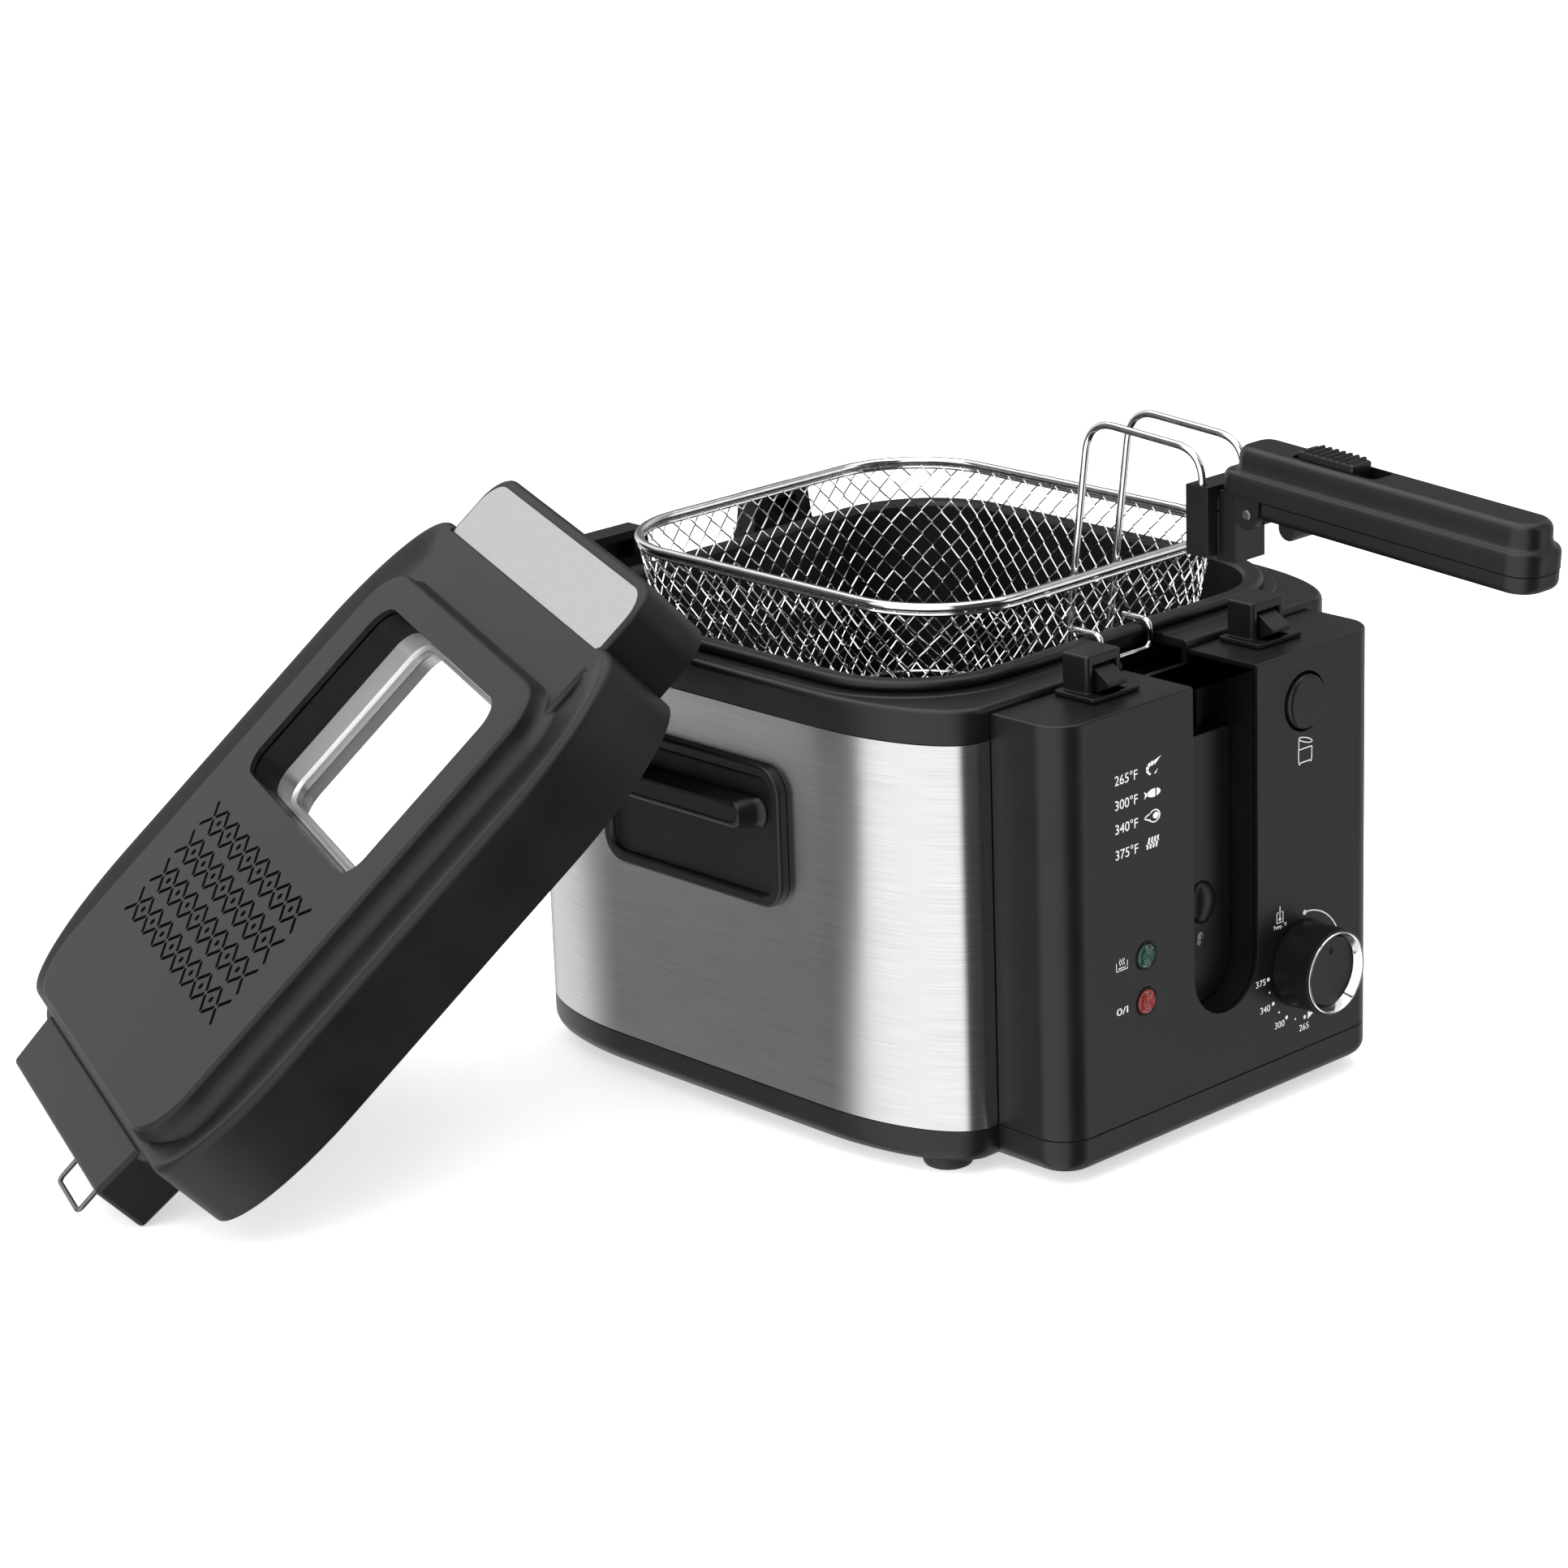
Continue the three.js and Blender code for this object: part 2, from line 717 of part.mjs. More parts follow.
function handleLower() {
  const lower = handleSection(HANDLE_HALF, -1, 6.9, 2.4, 17, HANDLE_LENGTH);
  const stop = new THREE.CylinderGeometry(4.5, 4.5, 18, 16).rotateZ(Math.PI / 2);
  const room = block(-30, 30, -8.5, 40, -20, 20);
  return cut(join(lower, stop.translate(0, -18, -3.4)), hingeRoom(), room);
}

function pivotPin() {
  return new THREE.CylinderGeometry(2, 2, 29.6, 16).rotateZ(Math.PI / 2);
}

function slideButton() {
  const ridges = Array.from({ length: 6 }, (_, i) =>
    block(-6.4, 6.4, -46 + i * 5, -43.4 + i * 5, 29.5, 32.6),
  );
  return join(block(-6.6, 6.6, -49.5, -17, 23.9, 30), ...ridges);
}

// ---------------------------------------------------------------- lid
// Y of a place measured forward from the metal plate's back edge.
const lidY = (forward) => LID_Y - forward;

const lidOutline = (inset) =>
  rounded(
    -LID_HALF + inset,
    LID_HALF - inset,
    lidY(-3) + inset,
    lidY(-290.5) - inset,
    33 - inset,
    76 - inset,
  );

function lidNose(inset, low, high, bevel) {
  const outline = rounded(
    -103.5 + inset,
    103.5 - inset,
    lidY(37) + inset,
    lidY(-40),
    13 - inset / 2,
  );
  return upright(outline, LID_Z + low, LID_Z + high, bevel, 4);
}

const plateauOutline = (inset) =>
  rounded(
    -106 + inset,
    106 - inset,
    lidY(-29) + inset,
    lidY(-286) - inset,
    22 - inset,
    26 - inset,
  );

const windowOutline = (grow) =>
  rounded(
    -81.8 - grow,
    81.8 + grow,
    lidY(-45) - grow,
    lidY(-145.3) + grow,
    14 + grow,
  );

// Four long slots let the steam out.
const vents = () =>
  [0, 1, 2, 3].map((row) => {
    const y = lidY(-171.5 - row * 17.4);
    return block(-74, 74, y - 1.4, y + 1.4, LID_Z - 30, LID_Z + 30);
  });

function lidShell() {
  const outer = join(
    upright(lidOutline(0), LID_Z - LID_SKIRT, LID_Z + 2, 4, 4),
    lidNose(0, -LID_SKIRT + 2, 0, 2.4),
    upright(plateauOutline(0), LID_Z - 8, LID_Z + LID_PLATEAU, 6, 4),
  );
  const hollow = join(
    upright(lidOutline(WALL), LID_Z - LID_SKIRT - 1, LID_Z - WALL),
    lidNose(WALL, -LID_SKIRT - 1, -WALL - 1, 0),
    upright(plateauOutline(WALL + 3), LID_Z - 9, LID_Z + LID_PLATEAU - WALL),
  );
  const window = upright(windowOutline(0), LID_Z - 30, LID_Z + 30);
  const plateBed = upright(platePlan(GAP), LID_Z - 1.2, LID_Z + 5);
  return cut(outer, hollow, window, plateBed, ...vents());
}

function platePlan(grow) {
  return rounded(-100.7 - grow, 100.7 + grow, lidY(32) - grow, lidY(0) + grow, 8 + grow);
}

const lidPlate = () => upright(platePlan(0), LID_Z - 0.9, LID_Z + 0.3, 0, 3);

// The inner sheet seals on the pot's rim; a well round the window holds the glass, and steam passes
// through the opening below the vents.
function lidLiner() {
  const level = LID_Z - LID_SKIRT + 7;
  const sheet = upright(potOutline(7), level, level + SHEET);
  const well = upright(windowOutline(3.4), level - 5, LID_Z + LID_PLATEAU - WALL - GAP);
  const bore = upright(windowOutline(2.4), level - 10, LID_Z + 30);
  const steam = upright(rounded(-76, 76, lidY(-233), lidY(-163), 4), level - 5, level + 5);
  return cut(join(sheet, well), bore, steam);
}

function windowGlass() {
  const level = LID_Z - LID_SKIRT + 9.2;
  return upright(windowOutline(2.1), level, level + 4);
}

function windowGasket() {
  const level = LID_Z - LID_SKIRT + 9.2 + 4 + GAP;
  const ring = withHole(windowOutline(2.1), windowOutline(-3.4));
  return upright(ring, level, level + 3, 0, 3);
}

function odourFilter() {
  const level = LID_Z - LID_SKIRT + 7 + SHEET + GAP;
  return upright(rounded(-82, 82, lidY(-157), lidY(-239), 4), level, level + 8);
}

function lidHingeBlock() {
  const front = lidY(-290.5) + GAP;
  const plan = polygon([
    [-84, front],
    [84, front],
    [80, front + 27.4],
    [-80, front + 27.4],
  ]);
  return upright(plan, LID_Z - 29.5, LID_Z - 0.6, 2.2);
}

function lidBail() {
  const y = lidY(-290.5) + GAP + 27.4 + GAP;
  const corners = [
    [-62, y, LID_Z - 9],
    [-62, y + 13.5, LID_Z - 9],
    [-26, y + 13.5, LID_Z - 9],
    [-26, y, LID_Z - 9],
  ];
  return bentWire(corners, 1.2, 3, 24);
}

// ---------------------------------------------------------------- assembly
function housing() {
  const group = new THREE.Group();
  group.add(
    part("base_tray", baseTray(), satinBlack),
    feet(),
    part("side_wrap", sideWrap(), brushedSteel),
    part("heat_pan", heatPan(), plainSteel),
    part("top_deck", topDeck(), satinBlack),
    part("control_housing", controlHousing(), satinBlack),
    part("slot_liner", slotLiner(), satinBlack),
    part("slot_panel", slotPanel(), satinBlack),
    part("slot_screw", slotScrew(), plainSteel),
    part("cord_gland", cordGland(), rubber),
    part("heating_element", heatingElement(), plainSteel),
    part("thermostat", thermostat(), ceramic),
    part("terminal_block", block(-34, -6, -158, -140, 28, 44), ceramic),
    part("thermal_cutout", upright(centred(60, -112, 9, 4, 1), 70, 86, 0, 2), plainSteel),
  );
  for (const [colour, material] of [["green", greenLens], ["red", redLens]]) {
    group.add(part(`lamp_lens_${colour}`, lamp(LAMP_Z[colour]), material));
    group.add(part(`lamp_body_${colour}`, lampBody(LAMP_Z[colour]), ceramic));
  }
  for (const [name, side] of [["left", -1], ["right", 1]]) {
    group.add(part(`latch_post_${name}`, latchPost(side), satinBlack));
    group.add(part(`hinge_post_${name}`, hingePost(side), satinBlack));
    group.add(part(`carry_plate_${name}`, carryPlate(side), satinBlack));
    group.add(part(`carry_grip_${name}`, carryGrip(side), satinBlack));
  }
  return group;
}

function lidRelease() {
  const group = new THREE.Group();
  group.add(
    part("release_button", releaseButton(), satinBlack),
    part("latch_slide", latchSlide(), satinBlack),
    part("latch_hook_left", latchHook(-1), satinBlack),
    part("latch_hook_right", latchHook(1), satinBlack),
  );
  return group;
}

function knob() {
  const group = new THREE.Group();
  group.add(
    part("knob_shaft", knobShaft(), plainSteel),
    part("knob_barrel", knobBarrel(), satinBlack),
    part("knob_ring", knobRing(), chrome),
    part("knob_face", knobFace(), satinBlack),
  );
  return group;
}

function basket() {
  const group = new THREE.Group();
  group.add(
    part("basket_rim", basketRim(), chrome),
    part("basket_mesh", basketMesh(), chrome),
    part("handle_wire_left", handleWire(-1), chrome),
    part("handle_wire_right", handleWire(1), chrome),
    part("drain_hook", drainHook(), chrome),
    part("handle_bracket", handleBracket(), satinBlack),
  );
  const handle = new THREE.Group();
  handle.position.set(0, PIVOT_Y, PIVOT_Z);
  handle.rotation.x = HANDLE_TILT * DEG;
  handle.add(
    part("handle_upper", handleUpper(), satinBlack),
    part("handle_lower", handleLower(), satinBlack),
    part("pivot_pin", pivotPin(), plainSteel),
    part("slide_button", slideButton(), satinBlack),
  );
  group.add(handle);
  return group;
}

function lid() {
  const closed = new THREE.Group();
  closed.add(
    part("lid_shell", lidShell(), lidBlack),
    part("lid_plate", lidPlate(), paleMetal),
    part("lid_liner", lidLiner(), plainSteel),
    part("window_glass", windowGlass(), glass),
    part("window_gasket", windowGasket(), paleMetal),
    part("odour_filter", odourFilter(), rubber),
    part("lid_hinge_block", lidHingeBlock(), lidBlack),
    part("lid_bail", lidBail(), chrome),
  );
  closed.position.set(0, -LID_Y, -LID_Z);
  const leaning = new THREE.Group();
  leaning.position.set(...LID_PLACE);
  leaning.rotation.set(-LID_TILT * DEG, -LID_ROLL * DEG, LID_TURN * DEG, "ZXY");
  leaning.add(closed);
  return leaning;
}

const group = new THREE.Group();
group.add(housing(), part("oil_pot", oilPot(), nonStick), lidRelease(), knob(), basket(), lid());
group.position.set(...SHIFT);

export default group;
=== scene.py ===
import json
import math

import bmesh
import bpy
from mathutils import Matrix, Vector


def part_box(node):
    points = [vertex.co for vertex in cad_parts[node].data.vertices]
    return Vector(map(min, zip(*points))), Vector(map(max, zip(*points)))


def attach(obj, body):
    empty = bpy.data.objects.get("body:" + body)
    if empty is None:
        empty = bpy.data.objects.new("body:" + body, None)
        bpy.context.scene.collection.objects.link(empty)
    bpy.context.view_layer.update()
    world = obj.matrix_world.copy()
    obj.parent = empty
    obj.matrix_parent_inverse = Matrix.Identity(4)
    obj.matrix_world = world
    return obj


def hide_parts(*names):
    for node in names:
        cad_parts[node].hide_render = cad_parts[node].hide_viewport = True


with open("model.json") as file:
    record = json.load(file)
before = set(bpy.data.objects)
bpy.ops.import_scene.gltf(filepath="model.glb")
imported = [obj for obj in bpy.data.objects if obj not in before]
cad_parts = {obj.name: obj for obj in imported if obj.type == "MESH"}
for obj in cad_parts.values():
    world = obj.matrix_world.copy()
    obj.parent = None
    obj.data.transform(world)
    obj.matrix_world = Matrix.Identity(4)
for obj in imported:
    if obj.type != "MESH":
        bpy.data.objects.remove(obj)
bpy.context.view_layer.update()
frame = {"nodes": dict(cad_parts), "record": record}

# -------------------- places
# Pieces are drawn in millimetres, each in the frame of what it belongs to: the fryer's own frame
# (on the table under the middle of its body), the basket handle's, or the leaning lid's.
MM = 0.001
BODY_BACK = 162.5
PIVOT = Vector((0, -187, 290))
HANDLE_TILT = 4
LID_PLACE = Vector((-174.3, 101, 241.2))
LID_TURN, LID_TILT, LID_ROLL = 66.44, 43.24, 2.38


def turn(degrees, axis):
    return Matrix.Rotation(math.radians(degrees), 4, axis)


wrap_low, wrap_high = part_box("side_wrap")
ORIGIN = Vector(((wrap_low.x + wrap_high.x) / 2, wrap_high.y - BODY_BACK * MM, 0))
FRYER = Matrix.Translation(ORIGIN) @ Matrix.Scale(MM, 4)
HANDLE = FRYER @ Matrix.Translation(PIVOT) @ turn(HANDLE_TILT, "X")
LID = FRYER @ Matrix.Translation(LID_PLACE)
LID = LID @ turn(LID_TURN, "Z") @ turn(-LID_TILT, "X") @ turn(-LID_ROLL, "Y")

# -------------------- dimensions, as in the CAD
BODY = dict(left=-140.5, right=140.5, front=-121.5, back=BODY_BACK)
WRAP_LOW, WRAP_TOP = 22.3, 198.7
DECK_TOP = 214.5
PANEL_FRONT, PANEL_HALF, PANEL_LOW, PANEL_TOP, PANEL_CORNER = -162.5, 105, 22.3, 211, 16
WALL = 2.5  # thickness of the mouldings
SLOT_HALF, SLOT_CENTRE, SLOT_FACE, SLOT_BACK, SLOT_SHELF = 21.1, 76.3, -147, -134.3, 181
SLOT_BUMP_Z, SLOT_SCREW_Z = 103, 86
LINER_BACK = -132
RIM_LOW, RIM_HIGH = 214.9, 220.2
POT_FLOOR = 74
BASKET_TOP, BASKET_FLOOR, BASKET_TAPER = 246, 142, 0.85
BASKET_MIDDLE = 20.1
MESH_PITCH, MESH_DROP, MESH_WIRE, MESH_CURL = 5.2, 5.6, 0.4, 9
KNOB_X, KNOB_Z, KNOB_PROUD = 50.9, 64.2, 20.3
BUTTON_X, BUTTON_Z = 53.4, 187
LATCH_X = 53.7
ICON_X, ICON_WIDEN = -48.1, 1.26
SCALE_X, SCALE_Z, SCALE_RADIUS = 53.2, 62.4, 25.2
FOOT_X, FOOT_FRONT, FOOT_BACK = 112, -97, 128
GRIP_FACE, GRIP_Y, GRIP_Z, GRIP_REACH = 140.8, 28, 153.5, 11.6
LAMP_X, LAMP_GREEN, LAMP_RED = -53, 96.4, 75.3
SIDES = (("left", -1), ("right", 1))


# -------------------- materials
class Paint:
    """A node material; its patterns are drawn in millimetres of the piece it is on."""

    def __init__(self, name, unit):
        self.material = bpy.data.materials.new(name)
        self.material.use_nodes = True
        self.nodes = self.material.node_tree.nodes
        self.links = self.material.node_tree.links
        self.shader = self.nodes["Principled BSDF"]
        self.where = self.nodes.new("ShaderNodeTexCoord").outputs["Object"]
        self.unit = unit

    def set(self, **values):
        for key, value in values.items():
            self.shader.inputs[key.replace("_", " ").title().replace("Ior", "IOR")].default_value = value

    def noise(self, scale, detail=2.0, stretch=(1, 1, 1)):
        """Noise with about `scale` blotches in a millimetre, more along an axis with a larger stretch."""
        mapping = self.nodes.new("ShaderNodeMapping")
        mapping.inputs["Scale"].default_value = [s * self.unit for s in stretch]
        self.links.new(self.where, mapping.inputs["Vector"])
        texture = self.nodes.new("ShaderNodeTexNoise")
        texture.inputs["Scale"].default_value = scale
        texture.inputs["Detail"].default_value = detail
        self.links.new(mapping.outputs["Vector"], texture.inputs["Vector"])
        return texture.outputs["Fac"]

    def colour(self, pattern, dark, light):
        ramp = self.nodes.new("ShaderNodeValToRGB")
        ramp.color_ramp.elements[0].color = (*dark, 1)
        ramp.color_ramp.elements[1].color = (*light, 1)
        ramp.color_ramp.elements[0].position = 0.3
        ramp.color_ramp.elements[1].position = 0.7
        self.links.new(pattern, ramp.inputs["Fac"])
        self.links.new(ramp.outputs["Color"], self.shader.inputs["Base Color"])

    def roughness(self, pattern, low, high):
        spread = self.nodes.new("ShaderNodeMapRange")
        spread.inputs["To Min"].default_value = low
        spread.inputs["To Max"].default_value = high
        self.links.new(pattern, spread.inputs["Value"])
        self.links.new(spread.outputs["Result"], self.shader.inputs["Roughness"])

    def bump(self, pattern, height):
        """Raises the surface by up to `height` millimetres."""
        node = self.nodes.new("ShaderNodeBump")
        node.inputs["Distance"].default_value = height * MM
        self.links.new(pattern, node.inputs["Height"])
        self.links.new(node.outputs["Normal"], self.shader.inputs["Normal"])


def grey(value):
    return (value, value, value * 1.02)


def moulded(paint, dark, light, rough, grain, height):
    """Moulded plastic: faint cloudy tone, and a spark-eroded grain."""
    cloud = paint.noise(0.03, 3)
    paint.colour(cloud, grey(dark), grey(light))
    paint.roughness(cloud, rough - 0.04, rough + 0.04)
    paint.bump(paint.noise(grain, 2), height)


def housing_black(paint):
    moulded(paint, 0.0035, 0.0055, 0.37, 3.5, 0.012)
    paint.set(specular_ior_level=0.32)


def lid_black(paint):
    moulded(paint, 0.003, 0.006, 0.46, 2.2, 0.03)
    paint.set(specular_ior_level=0.32)


def brushed(paint, dark, light, rough, stretch):
    """Metal brushed along the axes where stretch is small."""
    streaks = paint.noise(1, 4, stretch)
    paint.colour(streaks, grey(dark), grey(light))
    paint.roughness(streaks, rough - 0.05, rough + 0.07)
    paint.bump(streaks, 0.006)
    paint.set(metallic=1.0)


def brushed_steel(paint):
    brushed(paint, 0.4, 0.56, 0.3, (0.03, 0.03, 5))
    paint.set(anisotropic=0.85, anisotropic_rotation=0.25)
    tangent = paint.nodes.new("ShaderNodeTangent")
    tangent.direction_type = "RADIAL"
    tangent.axis = "Z"
    paint.links.new(tangent.outputs["Tangent"], paint.shader.inputs["Tangent"])


def plain_steel(paint):
    brushed(paint, 0.12, 0.18, 0.33, (0.4, 1.5, 0.4))


def chrome(paint):
    haze = paint.noise(0.2, 2)
    paint.colour(haze, grey(0.6), grey(0.7))
    paint.roughness(haze, 0.05, 0.13)
    paint.set(metallic=1.0)


def pale_aluminium(paint):
    brushed(paint, 0.47, 0.53, 0.42, (0.25, 2.5, 1))


def non_stick(paint):
    """Sprayed coat with an orange-peel texture."""
    moulded(paint, 0.003, 0.006, 0.4, 1.1, 0.07)
    paint.set(specular_ior_level=0.3)


def rubber(paint):
    moulded(paint, 0.008, 0.012, 0.7, 1.5, 0.03)


def glass(paint):
    # The glass's tint and roughness vary in long streaks that run along the lid's length.
    tint_streaks = paint.noise(0.04, 1, (1, 0.1, 1))
    paint.colour(tint_streaks, (0.68, 0.69, 0.69), (0.75, 0.75, 0.75))
    paint.roughness(tint_streaks, 0.01, 0.04)
    paint.set(transmission_weight=1.0, ior=1.45)


def lens(paint, dark, light):
    """Translucent moulded plastic, pebbled on the inside."""
    pebbles = paint.noise(0.5, 2)
    paint.colour(pebbles, dark, light)
    paint.roughness(pebbles, 0.12, 0.25)
    paint.bump(pebbles, 0.15)
    paint.set(coat_weight=0.5, coat_roughness=0.08, transmission_weight=0.15)


def ceramic(paint):
    cloud = paint.noise(0.1, 2)
    paint.colour(cloud, (0.6, 0.57, 0.5), (0.72, 0.69, 0.62))
    paint.roughness(cloud, 0.3, 0.5)


def filter_felt(paint):
    fibres = paint.noise(1.2, 5)
    paint.colour(fibres, grey(0.006), grey(0.03))
    paint.roughness(fibres, 0.85, 1.0)
    paint.bump(fibres, 0.5)


def white_print(paint):
    ink = paint.noise(1.5, 2)
    paint.colour(ink, grey(0.7), grey(0.8))
    paint.roughness(ink, 0.4, 0.6)


FINISHES = {
    "housing_black": housing_black,
    "lid_black": lid_black,
    "brushed_steel": brushed_steel,
    "plain_steel": plain_steel,
    "chrome": chrome,
    "pale_aluminium": pale_aluminium,
    "non_stick": non_stick,
    "rubber": rubber,
    "glass": glass,
    "green_lens": lambda paint: lens(paint, (0.004, 0.03, 0.018), (0.012, 0.07, 0.045)),
    "red_lens": lambda paint: lens(paint, (0.13, 0.008, 0.007), (0.3, 0.025, 0.02)),
    "ceramic": ceramic,
    "filter_felt": filter_felt,
    "white_print": white_print,
}
made_finishes = {}


def finish(name, unit=1.0):
    if (name, unit) not in made_finishes:
        paint = Paint(name if unit == 1.0 else name + "_inside", unit)
        FINISHES[name](paint)
        made_finishes[name, unit] = paint.material
    return made_finishes[name, unit]


# -------------------- outlines and profiles
def swept(x, y, r, start, stop, steps=14):
    """Points along an arc between two angles in degrees."""
    angles = [math.radians(start + (stop - start) * i / steps) for i in range(steps + 1)]
    return [(x + r * math.cos(a), y + r * math.sin(a)) for a in angles]


def disc(x, y, r, n=16):
    return swept(x, y, r, 0, 360, n)[:-1]


def fixed(outline):
    """An outline that isn't drawn in."""
    return lambda inset: outline


def rounded(left, right, front, back, front_r, back_r=None, n=14):
    """A rectangle with quarter-ellipse corners; a radius is one number or (along X, along Y)."""
    back_r = front_r if back_r is None else back_r
    fx, fy = front_r if isinstance(front_r, tuple) else (front_r, front_r)
    bx, by = back_r if isinstance(back_r, tuple) else (back_r, back_r)
    corners = (
        (right - fx, front + fy, fx, fy),
        (right - bx, back - by, bx, by),
        (left + bx, back - by, bx, by),
        (left + fx, front + fy, fx, fy),
    )
    points = []
    for k, (x, y, rx, ry) in enumerate(corners):
        for i in range(n + 1):
            t = math.pi / 2 * (k - 1 + i / n)
            points.append((x + rx * math.cos(t), y + ry * math.sin(t)))
    return points


def plan(left, right, front, back, front_r, back_r=None, n=14):
    """The outline above as a function of how far it is drawn in."""

    def drawn_in(radius, inset):
        if isinstance(radius, tuple):
            return tuple(max(r - inset, 0.05) for r in radius)
        return max(radius - inset, 0.05)

    def outline(inset):
        radii = [drawn_in(radius, inset) for radius in (front_r, front_r if back_r is None else back_r)]
        return rounded(left + inset, right - inset, front + inset, back - inset, *radii, n)

    return outline


body_plan = plan(**BODY, front_r=(32, 75), n=24)
pot_plan = plan(-121, 121, -92.5, 142, 46, n=24)


def arc(inset, level, radius, start, stop, steps=4):
    """Profile points (inset, height) round an edge centred on (inset, level); 0 degrees is outermost."""
    angles = [math.radians(start + (stop - start) * i / steps) for i in range(steps + 1)]
    return [(inset - radius * math.cos(a), level + radius * math.sin(a)) for a in angles]


def edged(low, high, low_r, high_r, steps=4):
    """The outside of a solid between two levels, its two edges rounded."""
    points = arc(low_r, low + low_r, low_r, -90, 0, steps) if low_r else [(0, low)]
    return points + (arc(high_r, high - high_r, high_r, 0, 90, steps) if high_r else [(0, high)])


# -------------------- surfaces, as (vertices, faces)
def skinned(rings, closed=False):
    """A skin over rings of equal count, capped at both ends or, if closed, joined end to end."""
    count = len(rings[0])
    vertices = [point for ring in rings for point in ring]
    faces = []
    spans = len(rings) if closed else len(rings) - 1
    for r in range(spans):
        a, b = r * count, (r + 1) % len(rings) * count
        for i in range(count):
            j = (i + 1) % count
            faces.append((a + i, a + j, b + j, b + i))
    if not closed:
        faces.append(tuple(range(count))[::-1])
        last = (len(rings) - 1) * count
        faces.append(tuple(range(last, last + count)))
    return vertices, faces


def lofted(outline, profile, closed=False):
    """An upright solid: the outline drawn in by each profile point's inset, at its height."""
    return skinned([[(x, y, z) for x, y in outline(inset)] for inset, z in profile], closed)


def facing(outline, profile, closed=False):
    """The same seen from the front: an outline in (x, z), and a profile of (inset, y)."""
    return skinned([[(x, y, z) for x, z in outline(inset)] for inset, y in profile], closed)


def sideways(outline, profile, closed=False):
    """The same seen from the side: an outline in (y, z), and a profile of (inset, x)."""
    return skinned([[(x, y, z) for y, z in outline(inset)] for inset, x in profile], closed)


def turned(profile, centre, sides=64, axis="front", closed=False):
    """A turned piece: a profile of (radius, distance out), about an axis to the front, up or back."""
    rings = []
    for radius, along in profile:
        ring = []
        for i in range(sides):
            t = 2 * math.pi * i / sides
            a, b = max(radius, 0.01) * math.cos(t), max(radius, 0.01) * math.sin(t)
            offset = {"front": (a, -along, b), "up": (a, b, along), "back": (a, along, b)}[axis]
            ring.append(tuple(c + o for c, o in zip(centre, offset)))
        rings.append(ring)
    return skinned(rings, closed)


def box(x0, x1, y0, y1, z0, z1):
    corners = [(x0, y0), (x1, y0), (x1, y1), (x0, y1)]
    return skinned([[(x, y, z) for x, y in corners] for z in (z0, z1)])


def merged(*parts):
    vertices, faces = [], []
    for more, links in parts:
        start = len(vertices)
        vertices += more
        faces += [tuple(start + i for i in face) for face in links]
    return vertices, faces


def bent(corners, radius, steps=8):
    """A path along straight runs that meet in round bends of about that radius."""
    points = [Vector(corners[0])]
    for before, corner, after in zip(corners, corners[1:], corners[2:]):
        middle = Vector(corner)
        start = middle + (Vector(before) - middle).normalized() * radius
        stop = middle + (Vector(after) - middle).normalized() * radius
        for i in range(steps + 1):
            t = i / steps
            points.append(start * (1 - t) ** 2 + middle * 2 * t * (1 - t) + stop * t * t)
    return points + [Vector(corners[-1])]


def tube(path, radius, sides=10, closed=False):
    """A round wire along a path, its section carried along without twisting."""
    path = [Vector(p) for p in path]
    count = len(path)
    across = None
    rings = []
    for i, point in enumerate(path):
        before = path[i - 1] if closed or i else path[0]
        after = path[(i + 1) % count] if closed or i < count - 1 else path[-1]
        along = (after - before).normalized()
        if across is None:
            across = along.orthogonal().normalized()
        across = (across - along * across.dot(along)).normalized()
        other = along.cross(across)
        ring = []
        for k in range(sides):
            t = 2 * math.pi * k / sides
            ring.append(tuple(point + across * radius * math.cos(t) + other * radius * math.sin(t)))
        rings.append(ring)
    return skinned(rings, closed)


# -------------------- pieces
WELD = 1e-3


def raw(name, surface, space):
    """An object from a surface, its doubled points joined and its faces turned outward."""
    mesh = bpy.data.meshes.new(name)
    mesh.from_pydata(surface[0], [], surface[1])
    welded = bmesh.new()
    welded.from_mesh(mesh)
    bmesh.ops.remove_doubles(welded, verts=welded.verts, dist=WELD)
    bmesh.ops.recalc_face_normals(welded, faces=welded.faces)
    welded.to_mesh(mesh)
    welded.free()
    obj = bpy.data.objects.new(name, mesh)
    bpy.context.scene.collection.objects.link(obj)
    obj.matrix_world = space
    return obj


def settle(obj):
    """Makes the object's modifiers part of its mesh."""
    graph = bpy.context.evaluated_depsgraph_get()
    mesh = bpy.data.meshes.new_from_object(obj.evaluated_get(graph))
    obj.modifiers.clear()
    obj.data = mesh


def carve(obj, surface, operation="DIFFERENCE"):
    tool = raw("tool", surface, obj.matrix_world.copy())
    change = obj.modifiers.new("carve", "BOOLEAN")
    change.operation = operation
    change.solver = "EXACT"
    change.object = tool
    settle(obj)
    bpy.data.objects.remove(tool)


def soften(obj, width, segments=2, angle=40):
    change = obj.modifiers.new("soften", "BEVEL")
    change.width = width
    change.segments = segments
    change.limit_method = "ANGLE"
    change.angle_limit = math.radians(angle)
    settle(obj)


def dress(obj, slot, body, nodes=(), crease=32):
    """Smooth shading up to the crease angle, the slot's material, and the body the piece rides on."""
    mesh = bmesh.new()
    mesh.from_mesh(obj.data)
    for face in mesh.faces:
        face.smooth = True
    for edge in mesh.edges:
        edge.smooth = len(edge.link_faces) == 2 and edge.calc_face_angle(0) < math.radians(crease)
    mesh.to_mesh(obj.data)
    mesh.free()
    even = obj.modifiers.new("even", "WEIGHTED_NORMAL")
    even.keep_sharp = True
    obj.data.materials.clear()
    obj.data.materials.append(finish(slot))
    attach(obj, body)
    if nodes:
        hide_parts(*nodes)
    return obj


def piece(name, surface, slot, body="fryer", nodes=(), space=FRYER, crease=32):
    return dress(raw(name, surface, space), slot, body, nodes, crease)


